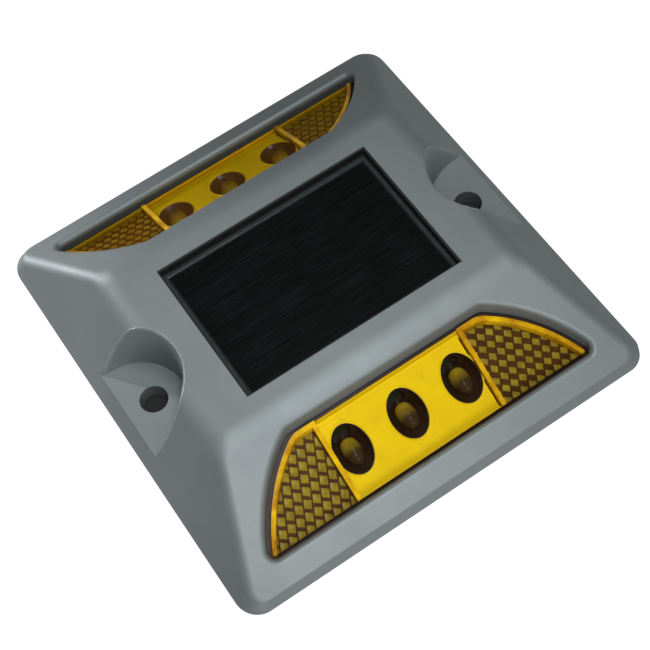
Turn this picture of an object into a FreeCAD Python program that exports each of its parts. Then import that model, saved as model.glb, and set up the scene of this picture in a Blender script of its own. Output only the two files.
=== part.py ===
import FreeCAD, Part
import Sketcher
import math
import os
import re

# Raised road marker: a die-cast housing with two amber light windows and a solar panel.
# Frame: X runs across the marker through both bolt holes, -Y faces the front lights,
# +Z is up and the origin is the middle of the flat base that is bonded to the road.

Vector = FreeCAD.Vector
Rotation = FreeCAD.Rotation
Placement = FreeCAD.Placement

doc = FreeCAD.newDocument("road_marker")

# ---------------------------------------------------------------- driving sizes (mm, degrees)
SIZES = [
    # housing, outside
    ("body_width", "120.0"),        # X, across the bolt holes
    ("body_length", "125.0"),       # Y, along the traffic
    ("body_height", "21.5"),
    ("side_lip", "0.6"),            # upright edge under the side slopes
    ("side_run", "15.5"),           # plan width of a side slope
    ("end_run", "33.5"),            # plan length of an end slope and its rim
    ("rim_height", "3.2"),          # steep rim at the front and the rear
    ("rim_inset", "1.4"),
    ("ridge_radius", "3.8"),
    ("side_blend", "8.0"),
    ("end_blend", "12.0"),
    ("corner_radius", "6.0"),
    ("rim_round", "0.8"),
    # housing, inside
    ("side_wall", "4.0"),           # measured level, across the side slope
    ("slope_wall", "4.35"),         # measured upright, through the end slope
    ("roof_wall", "3.5"),
    ("side_foot", "7.8"),
    ("seat_wall", "3.2"),
    # bolt seats
    ("bolt_inset", "11.0"),
    ("bolt_hole_radius", "3.75"),
    ("seat_floor", "5.0"),
    ("seat_inset", "6.0"),
    ("seat_radius", "13.5"),
    ("seat_draft", "4.0"),
    ("seat_round", "0.9"),
    # light openings in the end slopes
    ("opening_brow", "3.9"),        # from the flat top's edge down to the opening
    ("opening_sill", "8.1"),        # from the opening down to the marker's end
    ("opening_top_inset", "31.55"), # from the side in to the ends of the top edge
    ("opening_tip_inset", "11.2"),
    ("opening_arc_radius", "45.6"),
    ("opening_top_round", "3.0"),
    ("opening_tip_round", "1.8"),
    ("opening_edge_round", "1.4"),
    # lenses
    ("lens_depth", "3.8"),          # upright, from the end slope down to the lens face
    ("lens_skin", "1.6"),
    ("lens_step", "1.0"),
    ("lens_wall", "0.8"),
    ("lens_bead", "0.6"),
    ("lens_top_gap", "0.9"),
    ("lens_end_gap", "1.3"),
    ("lens_bottom_gap", "1.2"),
    ("lens_rim", "1.8"),
    ("flange_grow", "1.5"),
    ("flange_gap", "0.4"),
    ("divider_x", "21.9"),
    ("divider_width", "1.7"),
    ("lens_seal", "0.45"),
    # light plates, reflectors and lamps
    ("plate_gap", "0.1"),
    ("plate_thickness", "1.2"),
    ("plate_play", "0.3"),
    ("lamp_pitch", "16.3"),
    ("lamp_rise", "1.15"),          # of the row above the opening's middle
    ("lamp_tilt", "16.0"),
    ("lamp_bore", "4.9"),
    ("lamp_setback", "1.2"),
    ("lamp_radius", "2.5"),
    ("lamp_flange", "2.9"),
    ("lamp_flange_height", "1.0"),
    ("lamp_length", "8.6"),
    ("lead_size", "0.5"),
    ("lead_pitch", "2.54"),
    ("lead_length", "2.4"),
    ("lead_play", "0.2"),
    ("lamp_board_width", "44.0"),
    ("lamp_board_height", "8.2"),
    ("lamp_board_thickness", "1.0"),
    # solar panel
    ("window_side", "12.8"),        # from the flat top's edges in to the window
    ("window_end", "7.1"),
    ("window_sink", "0.5"),
    ("window_seal", "0.5"),
    ("seal_sink", "0.4"),
    ("solar_overlap_x", "2.3"),
    ("solar_overlap_y", "1.9"),
    ("solar_board_thickness", "1.0"),
    ("solar_border", "2.1"),
    ("cell_count", "6"),
    ("cell_thickness", "0.4"),
    ("cell_gap", "0.15"),
    # base cover
    ("cover_thickness", "1.0"),
    ("cover_gasket", "0.4"),
    ("cover_ledge", "1.8"),
    ("cover_round", "2.0"),
    ("cover_play", "0.25"),
    ("screw_side", "21.5"),
    ("screw_end", "38.5"),
    ("screw_radius", "1.5"),
    ("screw_head_radius", "2.5"),
    ("screw_length", "8.0"),
    ("screw_play", "0.05"),
    ("screw_boss_radius", "3.6"),
    ("foot_gap", "0.1"),
    # battery and control board
    ("battery_radius", "5.25"),
    ("battery_length", "44.5"),
    ("battery_y", "11.5"),
    ("battery_lift", "0.6"),
    ("battery_play", "0.2"),
    ("saddle_x", "14.0"),
    ("saddle_width", "4.0"),
    ("saddle_wall", "1.6"),
    ("clip_x", "20.2"),
    ("clip_shift", "0.3"),
    ("clip_width", "3.0"),
    ("clip_length", "4.0"),
    ("clip_height", "2.4"),
    ("clip_play", "0.2"),
    ("tab_thickness", "0.3"),
    ("tab_width", "6.0"),
    ("board_width", "52.0"),
    ("board_length", "22.0"),
    ("board_thickness", "1.2"),
    ("board_y", "-13.0"),
    ("post_height", "2.6"),
    ("post_radius", "1.8"),
    ("post_inset", "2.6"),
    ("chip_size", "6.0"),
    ("chip_height", "1.6"),
    ("chip_x", "-6.0"),
    ("chip_y", "-14.0"),
    ("coil_radius", "3.2"),
    ("coil_height", "4.4"),
    ("coil_x", "6.0"),
    ("coil_y", "-16.0"),
    ("capacitor_radius", "3.0"),
    ("capacitor_height", "7.0"),
    ("capacitor_x", "18.0"),
    ("capacitor_y", "-9.0"),
    ("connector_width", "7.6"),
    ("connector_length", "4.6"),
    ("connector_height", "4.0"),
    ("connector_x", "-18.0"),
    ("connector_y", "-10.0"),
    ("wire_radius", "0.6"),
    ("wire_pitch", "2.4"),
    ("wire_edge", "1.7"),
    ("wire_rise", "1.5"),
    ("lamp_leads_x", "-12.0"),
]

sheet = doc.addObject("Spreadsheet::Sheet", "Sizes")
for row, (alias, number) in enumerate(SIZES, start=1):
    sheet.set("A%d" % row, alias)
    sheet.set("B%d" % row, number)
    sheet.setAlias("B%d" % row, alias)
doc.recompute()

ALIASES = {alias for alias, number in SIZES}

# Sizes that follow from the ones above.
DERIVED = {
    "plateau_width": "(body_width - 2 * side_run)",
    "plateau_length": "(body_length - 2 * end_run)",
    "cavity_width": "(body_width - 2 * side_foot)",
    "window_width": "(body_width - 2 * side_run - 2 * window_side)",
    "window_length": "(body_length - 2 * end_run - 2 * window_end)",
    "solar_board_width": "(body_width - 2 * side_run - 2 * window_side + 2 * solar_overlap_x)",
    "solar_board_length": "(body_length - 2 * end_run - 2 * window_end + 2 * solar_overlap_y)",
    "bolt_x": "(body_width / 2 - bolt_inset)",
    "seat_centre": "(body_width / 2 - seat_inset)",
    "screw_x": "(body_width / 2 - screw_side)",
    "screw_y": "(body_length / 2 - screw_end)",
}
NODES = {}


# ---------------------------------------------------------------- helpers
def qualified(formula):
    """Write out the derived sizes, and name the sheet in front of every size."""
    written = re.sub(r"[a-z_]+", lambda word: DERIVED.get(word.group(0), word.group(0)),
                     str(formula))
    return re.sub(r"[a-z_]+", lambda word: "Sizes." + word.group(0)
                  if word.group(0) in ALIASES else word.group(0), written)


def value(formula):
    """The number that a formula of the sheet's sizes has now."""
    return float(sheet.evalExpression(qualified(formula)))


def bind(thing, prop, formula):
    thing.setExpression(prop, qualified(formula))


def bind_place(thing, x, y, z):
    for axis, formula in zip("xyz", (x, y, z)):
        bind(thing, ".Placement.Base." + axis, formula)


def make(kind, name):
    return doc.addObject(kind, name)


def box(name, x, y, z, length, width, height):
    """Block from its lowest corner, every figure a formula."""
    solid = make("Part::Box", name)
    bind(solid, "Length", length)
    bind(solid, "Width", width)
    bind(solid, "Height", height)
    bind_place(solid, x, y, z)
    return solid


def centred_box(name, x, y, z, length, width, height):
    """Block on the level z, centred on x and y."""
    return box(name, f"({x}) - ({length}) / 2", f"({y}) - ({width}) / 2", z,
               length, width, height)


def rod(name, x, y, z, radius, height, direction=Vector(0, 0, 1)):
    solid = make("Part::Cylinder", name)
    bind(solid, "Radius", radius)
    bind(solid, "Height", height)
    solid.Placement.Rotation = Rotation(Vector(0, 0, 1), direction)
    bind_place(solid, x, y, z)
    return solid


def cone(name, x, y, z, low_radius, high_radius, height):
    solid = make("Part::Cone", name)
    bind(solid, "Radius1", low_radius)
    bind(solid, "Radius2", high_radius)
    bind(solid, "Height", height)
    bind_place(solid, x, y, z)
    return solid


def fuse(name, *solids):
    joined = make("Part::MultiFuse", name)
    joined.Shapes = list(solids)
    return joined


def common(name, *solids):
    shared = make("Part::MultiCommon", name)
    shared.Shapes = list(solids)
    return shared


def group(name, *solids):
    """Solids kept side by side, placed as one."""
    together = make("Part::Compound", name)
    together.Links = list(solids)
    return together


def cut(name, base, *tools):
    result = make("Part::Cut", name)
    result.Base = base
    result.Tool = tools[0] if len(tools) == 1 else fuse(name + "_tools", *tools)
    return result


PLANES = {
    "XY": Rotation(),
    "XZ": Rotation(Vector(1, 0, 0), 90),
    "YZ": Rotation(Vector(1, 1, 1), 120),
}
NORMALS = {"XY": Vector(0, 0, 1), "XZ": Vector(0, -1, 0), "YZ": Vector(1, 0, 0)}


CENTRE = 3                             # a sketch arc's centre point, after its two ends


def fix_point(sketch, geometry, corner, u, v):
    """Hold one end of a sketch's edge at the formulas u, v."""
    for kind, formula in (("DistanceX", u), ("DistanceY", v)):
        index = sketch.addConstraint(
            Sketcher.Constraint(kind, -1, 1, geometry, corner, value(formula)))
        bind(sketch, "Constraints[%d]" % index, formula)


def draw_polygon(sketch, corners):
    """Closed outline of straight edges through corners given as formulas."""
    spots = [Vector(value(u), value(v), 0) for u, v in corners]
    count = len(spots)
    for index in range(count):
        sketch.addGeometry(Part.LineSegment(spots[index], spots[(index + 1) % count]), False)
    for index in range(count):
        sketch.addConstraint(Sketcher.Constraint("Coincident", index, 2, (index + 1) % count, 1))
        fix_point(sketch, index, 1, *corners[index])


def polygon(name, plane, corners):
    sketch = make("Sketcher::SketchObject", name)
    sketch.Placement = Placement(Vector(), PLANES[plane])
    draw_polygon(sketch, corners)
    return sketch


def extrude(name, sketch, plane, length, symmetric=True):
    solid = make("Part::Extrusion", name)
    solid.Base = sketch
    solid.DirMode = "Custom"
    solid.Dir = NORMALS[plane]
    solid.Solid = True
    solid.Symmetric = symmetric
    bind(solid, "LengthFwd", length)
    return solid


def prism(name, plane, corners, length, symmetric=True):
    return extrude(name, polygon(name + "_outline", plane, corners), plane, length, symmetric)


def round_edges(name, base, choices):
    """Fillet: each choice is a radius formula and a test that picks its edges."""
    doc.recompute()
    rounded = make("Part::Fillet", name)
    rounded.Base = base
    picks = []
    for radius, wanted in choices:
        chosen = [index for index, edge in enumerate(base.Shape.Edges, start=1) if wanted(edge)]
        if not chosen:
            raise RuntimeError("no edge to round for " + radius + " in " + name)
        picks += [(index, value(radius), value(radius)) for index in chosen]
    rounded.Edges = picks
    return rounded


def ends(edge):
    return [vertex.Point for vertex in edge.Vertexes]


def level(edge, height, slack=0.01):
    return all(abs(point.z - height) < slack for point in ends(edge))


def origin_plane(body, role):
    return [item for item in body.Origin.OriginFeatures if item.Role == role][0]


def body_sketch(body, name, role):
    sketch = body.newObject("Sketcher::SketchObject", name)
    sketch.AttachmentSupport = [(origin_plane(body, role), "")]
    sketch.MapMode = "FlatFace"
    return sketch


def turned_body(name, profile, dome=None):
    """Body turned about its own Z from a half profile of (radius, height) formulas.

    dome gives (radius, base height): the profile then ends in a quarter round."""
    body = make("PartDesign::Body", name)
    sketch = body_sketch(body, name + "_profile", "XZ_Plane")
    if dome is None:
        draw_polygon(sketch, profile)
    else:
        draw_domed_profile(sketch, profile, *dome)
    turn = body.newObject("PartDesign::Revolution", name + "_turn")
    turn.Profile = sketch
    turn.ReferenceAxis = (sketch, ["V_Axis"])
    turn.Angle = 360
    body.Tip = turn
    return body


def draw_domed_profile(sketch, profile, radius, base):
    """Open run of edges closed by a quarter round about (0, base)."""
    spots = [Vector(value(u), value(v), 0) for u, v in profile]
    for index in range(len(spots) - 1):
        sketch.addGeometry(Part.LineSegment(spots[index], spots[index + 1]), False)
    circle = Part.Circle(Vector(0, value(base), 0), Vector(0, 0, 1), value(radius))
    arc = sketch.addGeometry(Part.ArcOfCircle(circle, 0, math.pi / 2), False)
    axis = sketch.addGeometry(
        Part.LineSegment(Vector(0, value(base) + value(radius), 0), spots[0]), False)
    for index in range(arc):
        sketch.addConstraint(Sketcher.Constraint("Coincident", index, 2, index + 1, 1))
        fix_point(sketch, index, 1, *profile[index])
    sketch.addConstraint(Sketcher.Constraint("Coincident", arc, 2, axis, 1))
    sketch.addConstraint(Sketcher.Constraint("Coincident", axis, 2, 0, 1))
    fix_point(sketch, arc, CENTRE, "0", base)
    index = sketch.addConstraint(Sketcher.Constraint("Radius", arc, value(radius)))
    bind(sketch, "Constraints[%d]" % index, radius)
    sketch.addConstraint(Sketcher.Constraint("PointOnObject", axis, 1, -2))


def keep(solid, label):
    """Name a finished sub-part: its label is its file's name."""
    solid.Label = label
    NODES[label] = solid
    return solid


# ---------------------------------------------------------------- shared formulas
HALF_X = "body_width / 2"
HALF_Y = "body_length / 2"
SIDE_SLOPE = "((body_height - side_lip) / (body_width / 2 - plateau_width / 2))"
END_SLOPE = "((body_height - rim_height) / (body_length / 2 - rim_inset - plateau_length / 2))"
CEILING = "(body_height - roof_wall)"
OPENING_TOP = "(plateau_length / 2 + opening_brow)"
OPENING_BOTTOM = "(body_length / 2 - opening_sill)"
TOP_X = "(body_width / 2 - opening_top_inset)"
TIP_X = "(body_width / 2 - opening_tip_inset)"
CHORD = f"sqrt(({TIP_X} - {TOP_X}) ^ 2 + ({OPENING_BOTTOM} - {OPENING_TOP}) ^ 2)"
BOW = f"(sqrt(opening_arc_radius ^ 2 - {CHORD} ^ 2 / 4) / {CHORD})"
ARC_X = f"(({TOP_X} + {TIP_X}) / 2 - ({OPENING_BOTTOM} - {OPENING_TOP}) * {BOW})"
ARC_Y = f"(({OPENING_TOP} + {OPENING_BOTTOM}) / 2 + ({TIP_X} - {TOP_X}) * {BOW})"
LEDGE = "(cover_thickness + cover_gasket)"
SEAT_WALL_RADIUS = "(seat_radius + seat_wall)"
FLANGE_TOP = "(lens_depth + lens_step)"
FLANGE_BOTTOM = "(lens_depth + lens_step + lens_skin)"
PLATE_TOP = "(lens_depth + lens_skin + plate_gap)"
TURN_ROUND = Placement(Vector(), Rotation(Vector(0, 0, 1), 180))
ENDS = ("front", "rear")


def slope_height(y, depth):
    """Height of the plane that lies a given upright depth under the end slope."""
    return f"body_height - ({depth}) - {END_SLOPE} * (({y}) - plateau_length / 2)"


def slope_slab(name, top_depth, bottom_depth):
    """Layer parallel to the front slope, between two depths, wider than the marker."""
    near, far = "plateau_length / 3", HALF_Y + " + 2"
    corners = [(f"-({near})", slope_height(near, top_depth)),
               (f"-({far})", slope_height(far, top_depth)),
               (f"-({far})", slope_height(far, bottom_depth)),
               (f"-({near})", slope_height(near, bottom_depth))]
    return prism(name, "YZ", corners, "body_width")


def opening_prism(name, top_gap="0", end_gap="0", bottom_gap="0"):
    """Upright prism on the plan of the front light opening, drawn in by the three gaps.

    The plan has a straight top and bottom edge and one large arc at each end."""
    top = f"-({OPENING_TOP} + ({top_gap}))"
    bottom = f"-({OPENING_BOTTOM} - ({bottom_gap}))"
    radius = f"(opening_arc_radius - ({end_gap}))"
    rise_top = f"({ARC_Y} + ({top}))"
    rise_bottom = f"({ARC_Y} + ({bottom}))"
    top_x = value(f"{ARC_X} + sqrt({radius} ^ 2 - {rise_top} ^ 2)")
    bottom_x = value(f"{ARC_X} + sqrt({radius} ^ 2 - {rise_bottom} ^ 2)")
    top_y, bottom_y = value(top), value(bottom)
    sketch = make("Sketcher::SketchObject", name + "_outline")
    sketch.addGeometry(
        Part.LineSegment(Vector(-top_x, top_y, 0), Vector(top_x, top_y, 0)), False)
    sketch.addGeometry(
        Part.LineSegment(Vector(bottom_x, bottom_y, 0), Vector(-bottom_x, bottom_y, 0)), False)
    low = math.asin(value(rise_bottom) / value(radius))
    high = math.asin(value(rise_top) / value(radius))
    for side, first, last in ((1, low, high), (-1, math.pi - high, math.pi - low)):
        centre = Vector(side * value(ARC_X), -value(ARC_Y), 0)
        circle = Part.Circle(centre, Vector(0, 0, 1), value(radius))
        sketch.addGeometry(Part.ArcOfCircle(circle, first, last), False)
    top_line, bottom_line, right_arc, left_arc = range(4)
    for first, first_end, second, second_end in (
            (top_line, 2, right_arc, 2), (right_arc, 1, bottom_line, 1),
            (bottom_line, 2, left_arc, 2), (left_arc, 1, top_line, 1)):
        sketch.addConstraint(
            Sketcher.Constraint("Coincident", first, first_end, second, second_end))
    sketch.addConstraint(Sketcher.Constraint("Horizontal", top_line))
    sketch.addConstraint(Sketcher.Constraint("Horizontal", bottom_line))
    for line, formula in ((top_line, top), (bottom_line, bottom)):
        index = sketch.addConstraint(
            Sketcher.Constraint("DistanceY", -1, 1, line, 1, value(formula)))
        bind(sketch, "Constraints[%d]" % index, formula)
    for arc, sign in ((right_arc, ""), (left_arc, "-")):
        fix_point(sketch, arc, CENTRE, sign + ARC_X, "-" + ARC_Y)
        index = sketch.addConstraint(Sketcher.Constraint("Radius", arc, value(radius)))
        bind(sketch, "Constraints[%d]" % index, radius)
    return extrude(name, sketch, "XY", "body_height", symmetric=False)


def rounded_opening(name, top_gap="0", end_gap="0", bottom_gap="0",
                    top_round="opening_top_round", tip_round="opening_tip_round"):
    """The same prism with its four upright corners rounded."""
    solid = opening_prism(name + "_sharp", top_gap, end_gap, bottom_gap)
    top = -value(OPENING_TOP) - value(top_gap)
    bottom = -value(OPENING_BOTTOM) + value(bottom_gap)

    def upright(edge, y):
        first, last = ends(edge)
        return abs(first.z - last.z) > 1 and abs(first.y - y) < 0.01

    return round_edges(name, solid, [
        (top_round, lambda edge: upright(edge, top)),
        (tip_round, lambda edge: upright(edge, bottom))])


# ---------------------------------------------------------------- housing
def outer_block():
    """Crossing of two sloped profiles, with every outer edge rounded."""
    side_profile = prism("side_profile", "XZ", [
        (f"-({HALF_X})", "0"), (HALF_X, "0"), (HALF_X, "side_lip"),
        ("plateau_width / 2", "body_height"), ("-(plateau_width / 2)", "body_height"),
        (f"-({HALF_X})", "side_lip")], "body_length + 2")
    end_profile = prism("end_profile", "YZ", [
        (f"-({HALF_Y})", "0"), (HALF_Y, "0"), (f"{HALF_Y} - rim_inset", "rim_height"),
        ("plateau_length / 2", "body_height"), ("-(plateau_length / 2)", "body_height"),
        (f"-({HALF_Y} - rim_inset)", "rim_height")], "body_width + 2")
    block = common("sharp_block", side_profile, end_profile)
    top, rim = value("body_height"), value("rim_height")

    def spans(edge):
        heights = sorted(point.z for point in ends(edge))
        return heights[0], heights[1]

    def is_ridge(edge):
        low, high = spans(edge)
        return abs(low - rim) < 0.01 and abs(high - top) < 0.01

    def is_corner(edge):
        low, high = spans(edge)
        return high - low > 0.01 and high < rim + 0.01

    def along(edge, axis):
        first, last = ends(edge)
        return abs(getattr(first, axis) - getattr(last, axis)) > 1

    return round_edges("rounded_block", block, [
        ("ridge_radius", is_ridge),
        ("side_blend", lambda edge: level(edge, top) and along(edge, "y")),
        ("end_blend", lambda edge: level(edge, top) and along(edge, "x")),
        ("corner_radius", is_corner),
        ("rim_round", lambda edge: level(edge, rim) and along(edge, "x"))])


def cavity():
    """Room under the slopes and the roof, open below, around the seats and screw bosses."""
    wall_x = "cavity_width / 2"
    shoulder = f"side_lip + {SIDE_SLOPE} * ({HALF_X} - side_wall - {wall_x})"
    ceiling_x = f"{HALF_X} - side_wall - ({CEILING} - side_lip) / {SIDE_SLOPE}"
    ceiling_y = f"plateau_length / 2 + (roof_wall - slope_wall) / {END_SLOPE}"
    across = prism("cavity_side_profile", "XZ", [
        (f"-({wall_x})", "0"), (wall_x, "0"), (wall_x, shoulder), (ceiling_x, CEILING),
        (f"-({ceiling_x})", CEILING), (f"-({wall_x})", shoulder)], "body_length")
    foot = slope_height(OPENING_BOTTOM, "slope_wall")
    along = prism("cavity_end_profile", "YZ", [
        ("-" + OPENING_BOTTOM, "0"), (OPENING_BOTTOM, "0"), (OPENING_BOTTOM, foot),
        (ceiling_y, CEILING), (f"-({ceiling_y})", CEILING), ("-" + OPENING_BOTTOM, foot)],
        "body_width")
    room = common("cavity_room", across, along)
    kept = [rod("seat_core_" + side, x, "0", "0", SEAT_WALL_RADIUS, "body_height")
            for side, x in (("left", "-seat_centre"), ("right", "seat_centre"))]
    for index, (x, y) in enumerate(SCREW_SPOTS, start=1):
        kept.append(rod("screw_boss_%d" % index, x, y, "cover_thickness",
                        "screw_boss_radius", "body_height"))
    return cut("cavity", room, *kept)


SCREW_SPOTS = [("-screw_x", "-screw_y"), ("screw_x", "-screw_y"),
               ("screw_x", "screw_y"), ("-screw_x", "screw_y")]


def cover_plan(name, low, height, play="0", inset="0"):
    """Plan of the base cover: a rounded rectangle with a bite round each bolt seat.

    inset draws the plan in from the recess's edge, and play is a further clearance."""
    length = f"cavity_width + 2 * cover_ledge - 2 * ({inset}) - 2 * ({play})"
    width = f"2 * ({OPENING_BOTTOM} + cover_ledge) - 2 * ({inset}) - 2 * ({play})"
    sheet_block = centred_box(name + "_sheet", "0", "0", low, length, width, height)
    block = round_edges(name + "_rounded", sheet_block, [
        ("cover_round", lambda edge: abs(ends(edge)[0].z - ends(edge)[1].z) > 0.01)])
    bite = f"{SEAT_WALL_RADIUS} - cover_ledge + ({inset}) + ({play})"
    bites = [rod(f"{name}_bite_{side}", x, "0", f"({low}) - 1", bite, f"({height}) + 2")
             for side, x in (("left", "-seat_centre"), ("right", "seat_centre"))]
    return cut(name, block, *bites)


def bolt_seat(side, sign):
    """Pocket over a bolt hole: a drafted half round that runs out through the side slope."""
    rise = "(body_height + 1 - seat_floor)"
    top_radius = f"(seat_radius + {rise} * tan(seat_draft))"
    centre = sign + "seat_centre"
    half_round = cone("seat_round_" + side, centre, "0", "seat_floor",
                      "seat_radius", top_radius, rise)
    run_out = prism("seat_run_out_" + side, "YZ", [
        ("-seat_radius", "seat_floor"), ("seat_radius", "seat_floor"),
        (top_radius, f"seat_floor + {rise}"), (f"-{top_radius}", f"seat_floor + {rise}")],
        "body_width / 2 - seat_centre + 1", symmetric=False)
    if sign:
        run_out.Placement.Rotation = Rotation(Vector(0, 0, 1), 180)
    bind_place(run_out, centre, "0", "0")
    hole = rod("bolt_hole_" + side, sign + "bolt_x", "0", "-1",
               "bolt_hole_radius", "body_height")
    return [half_round, run_out, hole]


def face(solid, end):
    """Turns a solid drawn for the front half round about Z when it is the rear one."""
    if end == "rear":
        solid.Placement = TURN_ROUND
    return solid


def on_seat_wall(point):
    radius = value("seat_radius") + (point.z - value("seat_floor")) * math.tan(
        math.radians(value("seat_draft")))
    reach = abs(point.x) - value("seat_centre")
    if reach < -0.001:
        return abs(math.hypot(reach, point.y) - radius) < 0.01
    return abs(abs(point.y) - radius) < 0.01


def samples(edge):
    first, last = edge.ParameterRange
    return [edge.valueAt(first + (last - first) * share) for share in (0, 0.25, 0.5, 0.75, 1)]


def housing():
    tools = [cavity(),
             cover_plan("cover_recess", "0", LEDGE),
             centred_box("window_hole", "0", "0", f"{CEILING} - 1", "window_width",
                         "window_length", "roof_wall + 2")]
    tools += [face(rounded_opening(end + "_opening"), end) for end in ENDS]
    tools += bolt_seat("left", "-") + bolt_seat("right", "")
    for index, (x, y) in enumerate(SCREW_SPOTS, start=1):
        tools.append(rod("thread_hole_%d" % index, x, y, "0", "screw_radius + screw_play",
                         "screw_length + 0.5"))
    shell = cut("cut_housing", outer_block(), *tools)
    floor = value("seat_floor")

    def is_opening_edge(edge):
        return all(abs(point.z - value(slope_height("%.9f" % abs(point.y), "0"))) < 0.01
                   and value(OPENING_TOP) - 0.01 < abs(point.y) < value(OPENING_BOTTOM) + 0.01
                   and abs(point.x) < value("seat_centre")
                   for point in samples(edge)) and abs(ends(edge)[0].x) < value("bolt_x")

    def is_seat_edge(edge):
        spots = samples(edge)
        seam = all(abs(abs(point.x) - value("seat_centre")) < 0.01 for point in spots)
        return not seam and all(on_seat_wall(point) for point in spots) \
            and max(point.z for point in spots) > floor + 0.1

    doc.recompute()
    opened = round_edges("housing_openings", shell, [("opening_edge_round", is_opening_edge)])
    return keep(round_edges("housing_seats", opened, [("seat_round", is_seat_edge)]), "housing")


# ---------------------------------------------------------------- lights
RAISED = ("lens_top_gap", "lens_end_gap", "lens_bottom_gap")
GROWN = ("-flange_grow", "-flange_grow", "flange_gap")
LAMP_Y = f"(({OPENING_TOP} + {OPENING_BOTTOM}) / 2 - lamp_rise)"
LAMP_FACE = slope_height(LAMP_Y, PLATE_TOP)
LAMP_REACH = "(lamp_setback + lamp_length)"
FOOT_Y = f"({LAMP_Y} - {LAMP_REACH} * cos(lamp_tilt))"
FOOT_Z = f"({LAMP_FACE} - {LAMP_REACH} * sin(lamp_tilt))"
DIVIDER_INNER = "(divider_x - divider_width / 2)"
DIVIDER_OUTER = "(divider_x + divider_width / 2)"


def drawn_in(gaps, extra):
    return [f"{gap} + {extra}" for gap in gaps]


def dividers(name):
    """Pair of upright walls between the lamp window and the reflectors."""
    return fuse(name, *[
        centred_box(f"{name}_{side}", x, "0", "0", "divider_width", "body_length",
                    "body_height")
        for side, x in (("left", "-divider_x"), ("right", "divider_x"))])


def lens(end):
    """Coloured face plate with a flange that bears on the housing from inside."""
    raised = rounded_opening(end + "_lens_outline", *RAISED,
                             top_round="opening_top_round - lens_top_gap",
                             tip_round="opening_tip_round / 2")
    upper = common(end + "_lens_upper", raised,
                   slope_slab(end + "_lens_layer", "lens_depth - lens_bead", FLANGE_BOTTOM))
    lower = common(end + "_lens_flange", opening_prism(end + "_flange_outline", *GROWN),
                   slope_slab(end + "_flange_layer", FLANGE_TOP, FLANGE_BOTTOM))
    field = opening_prism(end + "_field_outline", *drawn_in(RAISED[:2], "lens_rim"),
                          "lens_bottom_gap - lens_rim")
    window = centred_box(end + "_window_field", "0", f"-({OPENING_TOP} + {OPENING_BOTTOM}) / 2",
                         "0", "2 * divider_x", f"{OPENING_BOTTOM} - {OPENING_TOP}",
                         "body_height")
    front_cut = common(
        end + "_field",
        cut(end + "_field_plan", fuse(end + "_fields", field, window),
            dividers(end + "_field_dividers")),
        slope_slab(end + "_field_layer", "-body_height / 2", "lens_depth"))
    hollow = common(
        end + "_hollow",
        cut(end + "_hollow_plan",
            opening_prism(end + "_hollow_outline", *drawn_in(RAISED, "lens_wall")),
            dividers(end + "_hollow_dividers")),
        slope_slab(end + "_hollow_layer", "lens_depth + lens_skin", "body_height"))
    shell = cut(end + "_lens_shell", fuse(end + "_lens_blank", upper, lower),
                front_cut, hollow)
    above = centred_box(end + "_lens_foot", "0", "0", "cover_thickness + foot_gap",
                        "body_width", "body_length", "body_height")
    return keep(face(common(end + "_lens", shell, above), end), "lens_" + end)


def lens_seal(end):
    """Soft strip between the lens flange and the underside of the slope."""
    ring = cut(end + "_seal_ring", opening_prism(end + "_seal_outline", *GROWN),
               rounded_opening(end + "_seal_opening"))
    layer = slope_slab(end + "_seal_layer", "slope_wall", FLANGE_TOP)
    return keep(face(common(end + "_seal", ring, layer), end), "lens_seal_" + end)


def backing(name, side):
    """Plate that lies against the lens's back in one of its three hollows."""
    plan = opening_prism(name + "_plan", *drawn_in(RAISED, "lens_wall + plate_play"))
    layer = slope_slab(name + "_layer", PLATE_TOP, PLATE_TOP + " + plate_thickness")
    if side == "middle":
        room = centred_box(name + "_room", "0", "0", "0",
                           f"2 * {DIVIDER_INNER} - 2 * plate_play", "body_length",
                           "body_height")
    else:
        start = f"{DIVIDER_OUTER} + plate_play"
        if side == "left":
            start = f"-({start}) - {HALF_X}"
        room = box(name + "_room", start, f"-({HALF_Y})", "0", HALF_X, "body_length",
                   "body_height")
    return common(name, plan, layer, room)


def on_lamp_axis(solid, x, end):
    """Stands a solid drawn along +Z on a lamp's axis, its origin at the lamp's foot."""
    turn = 180 if end == "rear" else 0
    side = "-" if end == "rear" else ""
    out = "" if end == "rear" else "-"
    solid.Placement.Rotation = Rotation(Vector(0, 0, 1), turn).multiply(
        Rotation(Vector(1, 0, 0), 90 - value("lamp_tilt")))
    bind_place(solid, f"{side}({x})", f"{out}{FOOT_Y}", FOOT_Z)
    return solid


LAMP_SPOTS = ["-lamp_pitch", "0", "lamp_pitch"]


def lamp_plate(end):
    """Bright plate round the lamps, bored along their axes."""
    plate = backing(end + "_plate_blank", "middle")
    bores = []
    for index, x in enumerate(LAMP_SPOTS, start=1):
        bore = rod(f"{end}_plate_bore_{index}", "0", "0", "0", "lamp_bore",
                   f"{LAMP_REACH} + lamp_bore * 2")
        bores.append(on_lamp_axis(bore, x, "front"))
    return keep(face(cut(end + "_plate", plate, *bores), end), "lamp_plate_" + end)


def lead_spots(x):
    return [f"{x} - lead_pitch / 2", f"{x} + lead_pitch / 2"]


def lamp(end, index, x):
    """Five millimetre lamp: flange, body, dome and two leads."""
    name = f"{end}_lamp_{index}"
    glass = turned_body(
        name + "_glass",
        [("0", "0"), ("lamp_flange", "0"), ("lamp_flange", "lamp_flange_height"),
         ("lamp_radius", "lamp_flange_height"), ("lamp_radius", "lamp_length - lamp_radius")],
        dome=("lamp_radius", "lamp_length - lamp_radius"))
    leads = [centred_box(f"{name}_lead_{number}", spot, "0", "-lead_length", "lead_size",
                         "lead_size", "lead_length")
             for number, spot in enumerate(lead_spots("0"), start=1)]
    whole = on_lamp_axis(fuse(name, glass, *leads), x, end)
    return keep(whole, f"lamp_{end}_{index}")


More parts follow.
